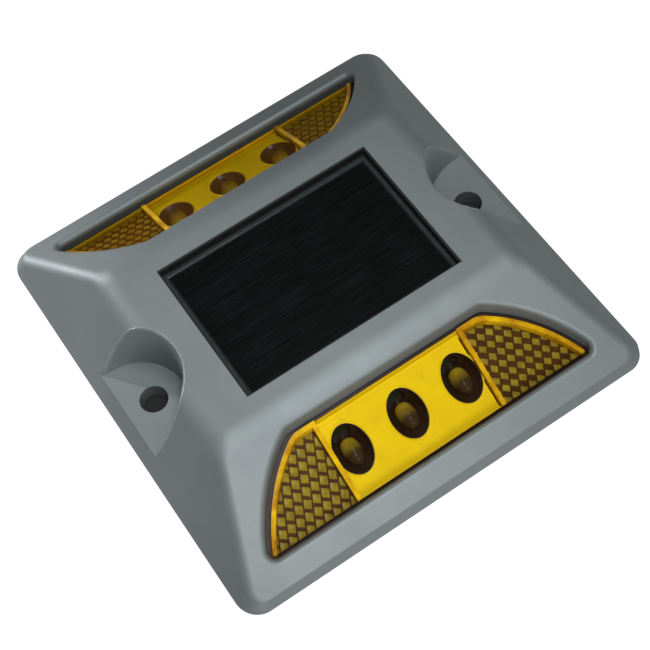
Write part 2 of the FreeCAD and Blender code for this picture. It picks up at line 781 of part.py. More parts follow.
def lamp_board(end):
    """Narrow circuit board behind the three lamps."""
    name = end + "_lamp_board"
    board = centred_box(name + "_sheet", "0", "0", "-lamp_board_thickness",
                        "lamp_board_width", "lamp_board_height", "lamp_board_thickness")
    holes = [centred_box(f"{name}_hole_{number}", spot, "0", "-lamp_board_thickness - 1",
                         "lead_size + 2 * lead_play", "lead_size + 2 * lead_play",
                         "lamp_board_thickness + 2")
             for number, spot in enumerate(
                 [spot for x in LAMP_SPOTS for spot in lead_spots(x)], start=1)]
    return keep(on_lamp_axis(cut(name, board, *holes), "0", end), "lamp_board_" + end)


# ---------------------------------------------------------------- solar panel
def solar_panel():
    board = centred_box("solar_sheet", "0", "0", f"{CEILING} - solar_board_thickness",
                        "solar_board_width", "solar_board_length", "solar_board_thickness")
    keep(board, "solar_board")
    count = round(value("cell_count"))
    cell_width = "((window_length - 2 * solar_border - (cell_count - 1) * cell_gap) / cell_count)"
    for index in range(count):
        cell = box("cell_%d" % (index + 1), "-(window_width / 2 - solar_border)",
                   f"-(window_length / 2 - solar_border) + {index} * ({cell_width} + cell_gap)",
                   CEILING, "window_width - 2 * solar_border", cell_width, "cell_thickness")
        keep(cell, "solar_cell_%d" % (index + 1))
    glass_base = f"{CEILING} + cell_thickness"
    glass = centred_box("window_glass", "0", "0", glass_base,
                        "window_width - 2 * window_seal", "window_length - 2 * window_seal",
                        f"body_height - window_sink - ({glass_base})")
    keep(glass, "solar_window")
    seal_height = "roof_wall - seal_sink"
    ring = cut("window_ring",
               centred_box("window_ring_outer", "0", "0", CEILING, "window_width",
                           "window_length", seal_height),
               centred_box("window_ring_inner", "0", "0", f"{CEILING} - 1",
                           "window_width - 2 * window_seal",
                           "window_length - 2 * window_seal", seal_height + " + 2"))
    keep(ring, "window_seal")


# ---------------------------------------------------------------- base
BATTERY_Z = "(cover_thickness + battery_lift + battery_radius)"
BOARD_Z = "(cover_thickness + post_height)"
BOARD_TOP = f"({BOARD_Z} + board_thickness)"


def bottom_cover():
    """Moulded plate that closes the base and carries the board, battery and lamp boards."""
    pieces = [cover_plan("cover_sheet", "0", "cover_thickness", play="cover_play")]
    for index, (side_x, side_y) in enumerate(((-1, -1), (1, -1), (1, 1), (-1, 1)), start=1):
        x = f"{side_x} * (board_width / 2 - post_inset)"
        y = f"board_y + {side_y} * (board_length / 2 - post_inset)"
        pieces.append(rod("board_post_%d" % index, x, y, "cover_thickness / 2", "post_radius",
                          "cover_thickness / 2 + post_height"))
    for side, x in (("left", "-saddle_x"), ("right", "saddle_x")):
        pieces.append(centred_box("battery_saddle_" + side, x, "battery_y",
                                  "cover_thickness / 2", "saddle_width",
                                  "2 * (battery_radius + battery_play + saddle_wall)",
                                  f"{BATTERY_Z} - cover_thickness / 2"))
    tools = [rod("battery_room", "-body_width / 4", "battery_y", BATTERY_Z,
                 "battery_radius + battery_play", "body_width / 2", Vector(1, 0, 0))]
    for end, sign in (("front", "-"), ("rear", "")):
        for side, x in (("left", "-clip_x"), ("right", "clip_x")):
            pieces.append(centred_box(f"{end}_clip_{side}", x, f"{sign}({FOOT_Y} + clip_shift)",
                                      "cover_thickness / 2", "clip_width", "clip_length",
                                      "cover_thickness / 2 + clip_height"))
        slot = group(end + "_clip_slot", centred_box(
            end + "_clip_room", "0", "0", "-lamp_board_thickness - clip_play",
            "body_width / 2", "lamp_board_height + 2 * clip_play",
            "lamp_board_thickness + 2 * clip_play"))
        tools.append(on_lamp_axis(slot, "0", end))
    for index, (x, y) in enumerate(SCREW_SPOTS, start=1):
        tools.append(cone("countersink_%d" % index, x, y, "0", "screw_head_radius + screw_play",
                          "screw_radius + screw_play", "cover_thickness"))
    return keep(cut("cover", fuse("cover_blank", *pieces), *tools), "bottom_cover")


def base_gasket():
    ring = cut("gasket",
               cover_plan("gasket_outer", "cover_thickness", "cover_gasket", play="cover_play"),
               cover_plan("gasket_inner", "cover_thickness - 1", "cover_gasket + 2",
                          inset="cover_ledge"))
    return keep(ring, "base_gasket")


def cover_screws():
    screws = []
    for index, (x, y) in enumerate(SCREW_SPOTS, start=1):
        shank = rod("screw_shank_%d" % index, x, y, "0", "screw_radius", "screw_length")
        head = cone("screw_head_%d" % index, x, y, "0", "screw_head_radius", "screw_radius",
                    "cover_thickness")
        screws.append(fuse("screw_%d" % index, shank, head))
    return keep(group("screws", *screws), "cover_screws")


# ---------------------------------------------------------------- electronics
def tube(name, points):
    """Round lead through points given as formulas, with a ball at each bend."""
    spots = [Vector(*[value(figure) for figure in point]) for point in points]
    parts = []
    for index in range(len(spots) - 1):
        run = make("Part::Cylinder", f"{name}_run_{index + 1}")
        bind(run, "Radius", "wire_radius")
        run.Height = (spots[index + 1] - spots[index]).Length
        run.Placement = Placement(
            spots[index], Rotation(Vector(0, 0, 1), spots[index + 1] - spots[index]))
        parts.append(run)
    for index in range(1, len(spots) - 1):
        bend = make("Part::Sphere", f"{name}_bend_{index}")
        bind(bend, "Radius", "wire_radius")
        bend.Placement.Base = spots[index]
        parts.append(bend)
    return fuse(name, *parts) if len(parts) > 1 else parts[0]


def lead_pair(label, paths):
    tubes = [tube(f"{label}_{index}", path) for index, path in enumerate(paths, start=1)]
    return keep(group(label + "_pair", *tubes), label)


def electronics():
    cell = rod("battery_can", "-battery_length / 2", "battery_y", BATTERY_Z, "battery_radius",
               "battery_length", Vector(1, 0, 0))
    keep(cell, "battery")
    for side, x in (("left", "-battery_length / 2 - tab_thickness"),
                    ("right", "battery_length / 2")):
        tab = box("tab_" + side, x, "battery_y - tab_width / 2", f"{BATTERY_Z} - tab_width / 2",
                  "tab_thickness", "tab_width", "tab_width")
        keep(tab, "battery_tab_" + side)
    board = centred_box("main_sheet", "0", "board_y", BOARD_Z, "board_width", "board_length",
                        "board_thickness")
    keep(board, "control_board")
    keep(centred_box("chip", "chip_x", "chip_y", BOARD_TOP, "chip_size", "chip_size",
                     "chip_height"), "control_chip")
    keep(rod("coil", "coil_x", "coil_y", BOARD_TOP, "coil_radius", "coil_height"),
         "boost_coil")
    keep(rod("capacitor", "capacitor_x", "capacitor_y", BOARD_TOP, "capacitor_radius",
             "capacitor_height"), "storage_capacitor")
    keep(centred_box("connector", "connector_x", "connector_y", BOARD_TOP, "connector_width",
                     "connector_length", "connector_height"), "wire_connector")


def leads():
    """The four pairs of insulated leads inside."""
    apart = "wire_pitch / 2"
    lead_pair("solar_leads", [
        [(f"connector_x {sign} {apart}", "connector_y", f"{BOARD_TOP} + connector_height"),
         (f"connector_x {sign} {apart}", "connector_y", f"{CEILING} - solar_board_thickness")]
        for sign in "-+"])
    battery_paths = []
    for sign in ("-", ""):
        tab_x = f"{sign}(battery_length / 2 + tab_thickness)"
        out_x = f"{sign}(board_width / 2 - wire_edge)"
        battery_paths.append([(tab_x, "battery_y", BATTERY_Z), (out_x, "battery_y", BATTERY_Z),
                              (out_x, "board_y + board_length / 2 - wire_edge", BATTERY_Z),
                              (out_x, "board_y + board_length / 2 - wire_edge", BOARD_TOP)])
    lead_pair("battery_leads", battery_paths)
    for end in ENDS:
        out = "-1" if end == "front" else "1"
        start = "(lamp_board_height / 2 - 1)"
        paths = []
        for sign in "-+":
            x = f"lamp_leads_x {sign} {apart}"
            points = []
            for behind in ("lamp_board_thickness", "lamp_board_thickness + wire_rise"):
                points.append((x, f"{out} * ({FOOT_Y} - {start} * sin(lamp_tilt)"
                                  f" - ({behind}) * cos(lamp_tilt))",
                               f"{FOOT_Z} + {start} * cos(lamp_tilt)"
                               f" - ({behind}) * sin(lamp_tilt)"))
            edge = f"board_y + {out} * (board_length / 2 - wire_edge)"
            if end == "front":
                points += [(x, edge, points[1][2]), (x, edge, BOARD_TOP)]
            else:
                over = f"{BATTERY_Z} + battery_radius + 2 * wire_radius"
                points += [(x, "battery_y + battery_radius + wire_rise", over),
                           (x, edge, over), (x, edge, BOARD_TOP)]
            paths.append(points)
        lead_pair("lamp_leads_" + end, paths)


# ---------------------------------------------------------------- the whole marker
housing()
for end in ENDS:
    lens(end)
    lens_seal(end)
    lamp_plate(end)
    for side in ("left", "right"):
        keep(face(backing(f"{end}_{side}_reflector", side), end), f"reflector_{end}_{side}")
    for index, x in enumerate(LAMP_SPOTS, start=1):
        lamp(end, index, x)
    lamp_board(end)
solar_panel()
bottom_cover()
base_gasket()
cover_screws()
electronics()
leads()
doc.recompute()

for thing in doc.Objects:
    if "Invalid" in thing.State or "Error" in thing.State:
        raise RuntimeError("%s is in state %s" % (thing.Name, thing.State))
for label, solid in NODES.items():
    if solid.Shape.isNull() or not solid.Shape.isValid() or solid.Shape.Volume <= 0:
        raise RuntimeError(label + " is not a valid solid")

os.makedirs("parts", exist_ok=True)
for label, solid in NODES.items():
    solid.Shape.exportStep("parts/%s.step" % label)
    print("%-22s %2d solid  %10.1f mm3" % (label, len(solid.Shape.Solids), solid.Shape.Volume))
print(len(NODES), "sub-parts written")
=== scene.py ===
# %% [markdown]
# # A solar road marker
#
# This lesson dresses a raised pavement marker: a low grey casting that is bolted to the
# road. It has a solar panel on top, and an amber window with three lamps and two
# reflectors in each of its two end slopes. The solid model already exists, and loads as a
# frame of named nodes. The lesson gives each node a finish, and rebuilds the lenses, the
# reflectors, the lamps, the panel's cover and the screws with finer shapes.

# %% Load the solid model
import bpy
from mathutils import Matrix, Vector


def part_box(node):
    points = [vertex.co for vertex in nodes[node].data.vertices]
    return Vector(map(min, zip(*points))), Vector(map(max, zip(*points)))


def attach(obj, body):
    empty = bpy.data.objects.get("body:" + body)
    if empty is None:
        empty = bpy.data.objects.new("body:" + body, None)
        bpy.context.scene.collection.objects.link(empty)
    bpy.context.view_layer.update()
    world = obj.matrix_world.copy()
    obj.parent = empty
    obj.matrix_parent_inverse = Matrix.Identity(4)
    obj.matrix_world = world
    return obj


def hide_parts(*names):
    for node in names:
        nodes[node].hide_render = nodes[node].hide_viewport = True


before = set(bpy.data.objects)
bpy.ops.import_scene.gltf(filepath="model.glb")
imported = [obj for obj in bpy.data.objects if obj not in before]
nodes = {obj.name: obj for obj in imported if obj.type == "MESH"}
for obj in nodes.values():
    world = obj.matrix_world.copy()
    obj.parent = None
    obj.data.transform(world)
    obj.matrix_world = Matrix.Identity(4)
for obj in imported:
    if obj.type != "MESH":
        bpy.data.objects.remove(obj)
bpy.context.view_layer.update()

# %% Modules
import math

import bmesh
import bpy
from mathutils import Matrix, Vector
from mathutils.bvhtree import BVHTree

scene = bpy.context.scene

# %% [markdown]
# ## Sizes to build from
#
# All figures are in metres. The height and the length come from the solids. The plan of a
# light window is a trapezium whose slanted ends are arcs. The figures could be typed where
# they are used, but each is written once here, so that every layer of a lens follows it.

# %% Main sizes
MM = 0.001
low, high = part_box("housing")
HEIGHT = high.z
HALF_LENGTH = high.y
FLAT_END = 29.0 * MM
RIM_HEIGHT = 3.2 * MM
RIM_INSET = 1.4 * MM
FALL = (HEIGHT - RIM_HEIGHT) / (HALF_LENGTH - RIM_INSET - FLAT_END)
WINDOW_TOP = 32.9 * MM
WINDOW_FOOT = 54.4 * MM
ARC_X = 7.3 * MM
ARC_Y = 73.3 * MM
ARC_RADIUS = 45.6 * MM
DIVIDER_INNER = 21.05 * MM
DIVIDER_OUTER = 22.25 * MM
SEAT_CENTRE = 54 * MM
print("height", round(HEIGHT, 4), "fall of the end slopes", round(FALL, 4))


def slope_height(y, depth):
    """Height at a depth, measured upright, under the front slope."""
    return HEIGHT - depth - FALL * (abs(y) - FLAT_END)


# %% [markdown]
# ## Camera
#
# The camera looks down on the front left corner from about 60 degrees up, with a long
# lens, so that near and far edges look almost parallel. It could be aimed at the marker by
# a Track To constraint. Its three axes are written as a rotation matrix instead, because
# the view is also rolled: the marker lies aslant in the frame.

# %% Camera
camera_data = bpy.data.cameras.new("camera")
camera_data.sensor_width = 36.0
camera_data.lens = 84.883
camera_data.clip_start = 0.01
camera = bpy.data.objects.new("camera", camera_data)
scene.collection.objects.link(camera)
right = Vector((0.830442, -0.548284, -0.098746))
up = Vector((0.522234, 0.704411, 0.480705))
back = Vector((-0.194005, -0.450766, 0.871305))
turn = Matrix((right, up, back)).transposed().to_4x4()
camera.matrix_world = Matrix.Translation((-0.0785474, -0.1857284, 0.3484231)) @ turn
scene.camera = camera
print("camera distance", round(camera.matrix_world.translation.length, 3), "m")

# %% [markdown]
# ## Studio
#
# A road marker is a satin casting, so soft, even light shows its slopes best. One wide lamp
# hangs overhead and a second one faces the front slope. Two narrow lamps fade towards the
# edge of their beams: one brightens the front half, and one, low behind the rear left
# corner, draws the bright line on that ridge. Wide lamps alone would light the marker too
# evenly. The floor's own colour gives the white ground, so the lamps stay at a plain level.

# %% Lamps
scene.view_settings.view_transform = "Standard"


def hang(name, data, place, aim):
    """Put a lamp at a place, turned towards an aim point."""
    lamp = bpy.data.objects.new(name, data)
    lamp.location = place
    lamp.rotation_euler = (Vector(aim) - Vector(place)).to_track_quat("-Z", "Y").to_euler()
    scene.collection.objects.link(lamp)


def area_lamp(name, place, aim, width, length, power, colour):
    """Rectangular lamp for soft, even light."""
    data = bpy.data.lights.new(name, "AREA")
    data.shape = "RECTANGLE"
    data.size = width
    data.size_y = length
    data.energy = power
    data.color = colour
    hang(name, data, place, aim)


def soft_spot(name, place, aim, angle, radius, power):
    """Narrow lamp whose light fades from the middle of its beam to the edge."""
    data = bpy.data.lights.new(name, "SPOT")
    data.spot_size = math.radians(angle)
    data.spot_blend = 1.0
    data.shadow_soft_size = radius
    data.energy = power
    hang(name, data, place, aim)


area_lamp("overhead", (0.05, -0.05, 0.62), (0, 0, 0), 0.34, 0.28, 1.52, (0.97, 1.0, 0.99))
area_lamp("front", (-0.05, -0.62, 0.30), (0.0, -0.04, 0), 0.40, 0.20, 1.7, (1.0, 0.98, 1.0))
soft_spot("back_left_ridge", (-0.34, 0.66, 0.26), (-0.055, 0.052, 0.010), 8.5, 0.03, 17.0)
soft_spot("front_glow", (-0.06, -0.30, 0.62), (-0.016, -0.030, 0.01), 19, 0.05, 6.0)

# %% [markdown]
# The sky is white to the camera, but lights the marker only faintly. One plain sky could do
# both, but then it would wash out the shadows. A Light Path node tells the two kinds of ray
# apart. In node trees, a sum or a range is a node with numbers or links on its sockets.
# These come back in almost every finish, so two helpers place them, and each gives back the
# output that the next node needs.

# %% Node helpers


def math_node(tree, operation, *inputs):
    """Math node on numbers or on other nodes' outputs; gives back its output."""
    node = tree.nodes.new("ShaderNodeMath")
    node.operation = operation
    for socket, value in zip(node.inputs, inputs):
        if isinstance(value, bpy.types.NodeSocket):
            tree.links.new(value, socket)
        else:
            socket.default_value = value
    return node.outputs[0]


def ranged(tree, value, start=0.0, full=1.0, least=0.0, most=1.0):
    """Map Range node that turns start into least and full into most; gives its output."""
    node = tree.nodes.new("ShaderNodeMapRange")
    node.inputs["From Min"].default_value = start
    node.inputs["From Max"].default_value = full
    node.inputs["To Min"].default_value = least
    node.inputs["To Max"].default_value = most
    tree.links.new(value, node.inputs["Value"])
    return node.outputs["Result"]


# %% World
SKY_LIGHT = 0.10
SKY_SEEN = 1.0
world = bpy.data.worlds.new("studio")
scene.world = world
world.use_nodes = True
sky = world.node_tree.nodes["Background"]
sky.inputs["Color"].default_value = (0.97, 1.0, 1.0, 1)
world_path = world.node_tree.nodes.new("ShaderNodeLightPath")
sky_level = ranged(world.node_tree, world_path.outputs["Is Camera Ray"],
                   least=SKY_LIGHT, most=SKY_SEEN)
world.node_tree.links.new(sky_level, sky.inputs["Strength"])
print("sky light:", SKY_LIGHT)

# %% [markdown]
# The floor must look white to the camera and in reflections, and still take the marker's
# shadow. A very pale floor would need strong lamps, and would throw their light back on the
# marker. So the Light Path node adds a white glow to a darker floor for camera, glossy and
# transmission rays only. Reflections get a weaker share of it, or the low slopes would turn
# milky.
# Under the marker the floor is painted dark and has no glow: a painted shadow, so that a bolt
# hole seen against the floor looks dark with shade. From below the floor is clear, so that a
# camera under it can see the base, and the part under the marker lets the sky's light up to the
# base, except round the two bolt holes.

# %% Floor masks
SEEN_GLOW = 0.85
MIRRORED_GLOW = 0.2
UNDER_MARGIN = 6 * MM
BOLT_SHADE = 9 * MM


def floor_glow(tree, path):
    """Glow that is bright to the camera, weak in reflections and absent for other rays."""
    mirrored_ray = math_node(tree, "MAXIMUM", path.outputs["Is Glossy Ray"],
                             path.outputs["Is Transmission Ray"])
    dimmed = math_node(tree, "MULTIPLY", mirrored_ray, MIRRORED_GLOW)
    direct = math_node(tree, "MULTIPLY", path.outputs["Is Camera Ray"], SEEN_GLOW)
    return math_node(tree, "MAXIMUM", direct, dimmed)


def open_floor(tree, place):
    """Mask that is 1 on the open floor and 0 in the rectangle under the marker."""
    parts = tree.nodes.new("ShaderNodeSeparateXYZ")
    tree.links.new(place.outputs["Object"], parts.inputs["Vector"])
    beside = []
    for axis, half in (("X", high.x), ("Y", high.y)):
        size = math_node(tree, "ABSOLUTE", parts.outputs[axis])
        beside.append(math_node(tree, "GREATER_THAN", size, half - UNDER_MARGIN))
    return math_node(tree, "MAXIMUM", *beside)


def off_bolts(tree, place):
    """Mask that is 0 round the two bolt holes. Absolute values fold both into one."""
    fold = tree.nodes.new("ShaderNodeVectorMath")
    fold.operation = "ABSOLUTE"
    to_bolt = tree.nodes.new("ShaderNodeVectorMath")
    to_bolt.operation = "DISTANCE"
    to_bolt.inputs[1].default_value = (SEAT_CENTRE, 0, 0)
    tree.links.new(place.outputs["Object"], fold.inputs[0])
    tree.links.new(fold.outputs["Vector"], to_bolt.inputs[0])
    return math_node(tree, "GREATER_THAN", to_bolt.outputs["Value"], BOLT_SHADE)


# %% Floor material
# Painted shadow: the floor's colour under the marker.
SHADOW_UNDER_MARKER = (0.02, 0.02, 0.02, 1)
PALE_FLOOR = (0.33, 0.33, 0.33, 1)


def floor_material():
    """Pale floor with a glow for some rays, a painted shadow under the marker, clear from below.
    """
    material = bpy.data.materials.new("pale_floor")
    material.use_nodes = True
    tree = material.node_tree
    shader = tree.nodes["Principled BSDF"]
    shader.inputs["Roughness"].default_value = 0.9
    shader.inputs["Emission Color"].default_value = (1, 1, 1, 1)
    path = tree.nodes.new("ShaderNodeLightPath")
    place = tree.nodes.new("ShaderNodeTexCoord")
    bare = open_floor(tree, place)
    lit = math_node(tree, "MULTIPLY", floor_glow(tree, path), bare)
    tree.links.new(lit, shader.inputs["Emission Strength"])
    paint = tree.nodes.new("ShaderNodeMix")
    paint.data_type = "RGBA"
    paint.inputs["A"].default_value = SHADOW_UNDER_MARKER
    paint.inputs["B"].default_value = PALE_FLOOR
    tree.links.new(bare, paint.inputs["Factor"])
    tree.links.new(paint.outputs["Result"], shader.inputs["Base Color"])
    solid_ray = math_node(tree, "MAXIMUM", path.outputs["Is Camera Ray"], bare)
    passing = math_node(tree, "SUBTRACT", 1.0, solid_ray)
    open_below = math_node(tree, "MULTIPLY", passing, off_bolts(tree, place))
    underside = tree.nodes.new("ShaderNodeNewGeometry")
    either = math_node(tree, "MAXIMUM", underside.outputs["Backfacing"], open_below)
    clear = tree.nodes.new("ShaderNodeBsdfTransparent")
    both = tree.nodes.new("ShaderNodeMixShader")
    tree.links.new(either, both.inputs["Fac"])
    tree.links.new(shader.outputs["BSDF"], both.inputs[1])
    tree.links.new(clear.outputs["BSDF"], both.inputs[2])
    tree.links.new(both.outputs["Shader"], tree.nodes["Material Output"].inputs["Surface"])
    return material


# %% Floor
REACH = 3.0
FLOOR_GAP = 0.2 * MM
floor_mesh = bpy.data.meshes.new("floor")
floor_mesh.from_pydata([(-REACH, -REACH, 0), (REACH, -REACH, 0), (REACH, REACH, 0),
                        (-REACH, REACH, 0)], [], [(0, 1, 2, 3)])
floor_mesh.materials.append(floor_material())
floor = bpy.data.objects.new("floor", floor_mesh)
floor.location.z = low.z - FLOOR_GAP
scene.collection.objects.link(floor)
print("floor at", round(floor.location.z, 5))

# %% [markdown]
# ## Finishes
#
# Every surface of a moulded or cast part varies a little: its colour drifts in soft
# patches, and a fine grain breaks up its gloss. Both effects are used by many materials,
# so each is a node group, built once and placed with its own values. The same nodes could be
# added to every material in turn, but then each change would have to be made in all of them.
# A group gives out only what changes over the surface. Plain numbers, such as how metallic
# the paint is, are set on each material's own shader.

# %% New groups


def new_group(name, inputs, outputs):
    """Node group with named inputs and outputs, and its two end nodes."""
    group = bpy.data.node_groups.new(name, "ShaderNodeTree")
    for label, kind, start in inputs:
        socket = group.interface.new_socket(name=label, in_out="INPUT", socket_type=kind)
        socket.default_value = start
    for label, kind in outputs:
        group.interface.new_socket(name=label, in_out="OUTPUT", socket_type=kind)
    enter = group.nodes.new("NodeGroupInput")
    leave = group.nodes.new("NodeGroupOutput")
    return group, enter, leave


# %% Tint patches


def tint_patches():
    """Soft patches that drift between two colours."""
    group, enter, leave = new_group(
        "tint_patches",
        [("Main Colour", "NodeSocketColor", (0.5, 0.5, 0.5, 1)),
         ("Patch Colour", "NodeSocketColor", (0.4, 0.4, 0.4, 1)),
         ("Patch Scale", "NodeSocketFloat", 60.0),
         ("Patch Amount", "NodeSocketFloat", 0.5)],
        [("Colour", "NodeSocketColor")])
    place = group.nodes.new("ShaderNodeTexCoord")
    noise = group.nodes.new("ShaderNodeTexNoise")
    noise.inputs["Detail"].default_value = 4.0
    noise.inputs["Roughness"].default_value = 0.6
    mix = group.nodes.new("ShaderNodeMix")
    mix.data_type = "RGBA"
    link = group.links.new
    link(place.outputs["Object"], noise.inputs["Vector"])
    link(enter.outputs["Patch Scale"], noise.inputs["Scale"])
    patches = ranged(group, noise.outputs["Fac"], start=0.35, full=0.65)
    amount = math_node(group, "MULTIPLY", patches, enter.outputs["Patch Amount"])
    link(amount, mix.inputs["Factor"])
    link(enter.outputs["Main Colour"], mix.inputs["A"])
    link(enter.outputs["Patch Colour"], mix.inputs["B"])
    link(mix.outputs["Result"], leave.inputs["Colour"])
    return group


# %% Fine grain


def fine_grain():
    """Fine surface grain: a height for bump, and a roughness that wanders with it."""
    group, enter, leave = new_group(
        "fine_grain",
        [("Grain Scale", "NodeSocketFloat", 2500.0),
         ("Mean Roughness", "NodeSocketFloat", 0.4),
         ("Roughness Spread", "NodeSocketFloat", 0.08)],
        [("Height", "NodeSocketFloat"), ("Roughness", "NodeSocketFloat")])
    place = group.nodes.new("ShaderNodeTexCoord")
    fine = group.nodes.new("ShaderNodeTexNoise")
    fine.inputs["Detail"].default_value = 3.0
    broad = group.nodes.new("ShaderNodeTexNoise")
    broad.inputs["Scale"].default_value = 140.0
    broad.inputs["Detail"].default_value = 5.0
    link = group.links.new
    link(place.outputs["Object"], fine.inputs["Vector"])
    link(place.outputs["Object"], broad.inputs["Vector"])
    link(enter.outputs["Grain Scale"], fine.inputs["Scale"])
    link(fine.outputs["Fac"], leave.inputs["Height"])
    centred = math_node(group, "SUBTRACT", broad.outputs["Fac"], 0.5)
    roughness = math_node(group, "MULTIPLY_ADD", centred, enter.outputs["Roughness Spread"],
                          enter.outputs["Mean Roughness"])
    link(roughness, leave.inputs["Roughness"])
    return group


TINT = tint_patches()
GRAIN = fine_grain()
print("groups:", [group.name for group in bpy.data.node_groups])

# %% [markdown]
# One helper places both groups in a new material and links them to its shader. The
# arguments are the values that differ from finish to finish, and the grain's depth is in
# millimetres. Anything constant goes straight to the shader by its socket's name. A dress
# helper then puts a finish on one of the solids.

# %% Material helper


def finish(name, main, patch, patch_scale=60.0, patch_amount=0.6, roughness=0.4, spread=0.1,
           grain_scale=2500.0, grain_depth=0.02, **constants):
    """Material with tint patches, fine grain and the shader constants that are given."""
    material = bpy.data.materials.new(name)
    material.use_nodes = True
    tree = material.node_tree
    shader = tree.nodes["Principled BSDF"]
    tint = tree.nodes.new("ShaderNodeGroup")
    tint.name = "tint"
    tint.node_tree = TINT
    tint.inputs["Main Colour"].default_value = (*main, 1)
    tint.inputs["Patch Colour"].default_value = (*patch, 1)
    tint.inputs["Patch Scale"].default_value = patch_scale
    tint.inputs["Patch Amount"].default_value = patch_amount
    grain = tree.nodes.new("ShaderNodeGroup")
    grain.name = "grain"
    grain.node_tree = GRAIN
    grain.inputs["Grain Scale"].default_value = grain_scale
    grain.inputs["Mean Roughness"].default_value = roughness
    grain.inputs["Roughness Spread"].default_value = spread
    bump = tree.nodes.new("ShaderNodeBump")
    bump.name = "bump"
    bump.inputs["Strength"].default_value = 1.0
    bump.inputs["Distance"].default_value = grain_depth * MM
    tree.links.new(tint.outputs["Colour"], shader.inputs["Base Color"])
    tree.links.new(grain.outputs["Roughness"], shader.inputs["Roughness"])
    tree.links.new(grain.outputs["Height"], bump.inputs["Height"])
    tree.links.new(bump.outputs["Normal"], shader.inputs["Normal"])
    for socket, figure in constants.items():
        shader.inputs[socket.replace("_", " ")].default_value = figure
    return material


def dress(node, material):
    """Give a solid of the frame its finish."""
    slots = nodes[node].data.materials
    slots.clear()
    slots.append(material)


# %% [markdown]
# Two more helpers change a finish. One paints a second colour over the tint where a mask is
# high. The other is for clear plastic. That could be glass with transmission, but through
# a thin sheet of it the lamps' light comes only as noise. Here the plastic is a mirror with
# a very low alpha, which rises steeply as the surface turns from the eye. What lies behind
# is lit as under real clear plastic, and the shine at a low angle stays.

# %% Paint over and clear plastic


def paint_over(material, mask, colour):
    """Mix a second colour over a finish's tint where a mask is high."""
    tree = material.node_tree
    mix = tree.nodes.new("ShaderNodeMix")
    mix.data_type = "RGBA"
    mix.inputs["B"].default_value = (*colour, 1)
    tree.links.new(mask, mix.inputs["Factor"])
    tree.links.new(tree.nodes["tint"].outputs["Colour"], mix.inputs["A"])
    tree.links.new(mix.outputs["Result"], tree.nodes["Principled BSDF"].inputs["Base Color"])


def clear_finish(name, tint, patch, mirror, power=5.0, **values):
    """Clear plastic: see-through when faced, and a mirror when seen at a low angle."""
    material = finish(name, tint, patch, Metallic=1.0, **values)
    tree = material.node_tree
    facing = tree.nodes.new("ShaderNodeLayerWeight")
    facing.inputs["Blend"].default_value = 0.5
    steep = math_node(tree, "POWER", facing.outputs["Facing"], power)
    share = math_node(tree, "MULTIPLY_ADD", steep, 1.0 - mirror, mirror)
    tree.links.new(share, tree.nodes["Principled BSDF"].inputs["Alpha"])
    return material


# %% [markdown]
# ## Housing
#
# The housing is one grey casting with a satin coat: dull enough to show no reflection of
# the room, and bright along every rounded edge. The solid is already whole, so it keeps its
# shape and only gets a finish. A partly metallic base gives that sheen. The patches keep the
# wide slopes from looking like plastic film, and the grain is that of a sprayed coat.

# %% Housing finish
casting = finish("satin_casting", (0.250, 0.281, 0.287), (0.222, 0.252, 0.258),
                 patch_scale=45.0, patch_amount=0.8, roughness=0.56, spread=0.12,
                 grain_scale=2200.0, grain_depth=0.012, Metallic=0.5)
dress("housing", casting)
print("housing dressed")

# %% [markdown]
# ## Plans of the light windows
#
# Every layer of a lens has the same plan, drawn in by different gaps: a straight top and
# foot, an arc at each end, and rounded corners. Each layer could be cut from the one before
# it, but a plan that is a list of points stays clean at any gap. The helpers below make that
# list, round its corners, and clip it with straight lines, because the divider walls cut it
# into a middle window and two reflector fields.

# %% Plan helpers
EDGE_STEPS = 36
CORNER_STEPS = 8


def end_x(y, end_gap):
    """Half the window's width at a distance y from the marker's middle."""
    radius = ARC_RADIUS - end_gap
    return ARC_X + math.sqrt(radius ** 2 - (ARC_Y - y) ** 2)


def walk_back(points, index, step, distance):
    """Point at a distance along a closed outline, and the index it lies beyond."""
    here = index
    left = distance
    while True:
        nearer = Vector(points[here % len(points)])
        farther = Vector(points[(here + step) % len(points)])
        gap = (farther - nearer).length
        if gap >= left:
            return nearer + (farther - nearer) * (left / gap), here + step
        left -= gap
        here += step


def round_corner(points, index, cut):
    """Replace one corner by a smooth curve that starts a cut's length before it."""
    before, first = walk_back(points, index, -1, cut)
    after, last = walk_back(points, index, 1, cut)
    corner = Vector(points[index])
    curve = []
    for step in range(CORNER_STEPS + 1):
        share = step / CORNER_STEPS
        curve.append(tuple(before * (1 - share) ** 2 + corner * 2 * share * (1 - share)
                           + after * share ** 2))
    kept = []
    here = last
    while here % len(points) != (first + 1) % len(points):
        kept.append(points[here % len(points)])
        here += 1
    return curve + kept


def window_plan(top_gap, end_gap, foot_gap, top_cut=0.0, foot_cut=0.0):
    """Closed plan of the front window as (x, y) points, drawn in by three gaps."""
    top = WINDOW_TOP + top_gap
    foot = WINDOW_FOOT - foot_gap
    ys = [top + (foot - top) * step / EDGE_STEPS for step in range(EDGE_STEPS + 1)]
    right_side = [(end_x(y, end_gap), -y) for y in ys]
    left_side = [(-x, y) for x, y in reversed(right_side)]
    points = right_side + left_side
    corners = [(points[0], top_cut), (points[EDGE_STEPS], foot_cut),
               (points[EDGE_STEPS + 1], foot_cut), (points[-1], top_cut)]
    for corner, cut in corners:
        if cut:
            points = round_corner(points, points.index(corner), cut)
    return points


def clip(points, axis, limit, above):
    """Part of a convex plan on one side of a line along x or y."""
    kept = []
    for index, here in enumerate(points):
        following = points[(index + 1) % len(points)]
        inside = (here[axis] >= limit) == above
        inside_next = (following[axis] >= limit) == above
        if inside:
            kept.append(here)
        if inside != inside_next:
            share = (limit - here[axis]) / (following[axis] - here[axis])
            kept.append(tuple(a + (b - a) * share for a, b in zip(here, following)))
    return kept


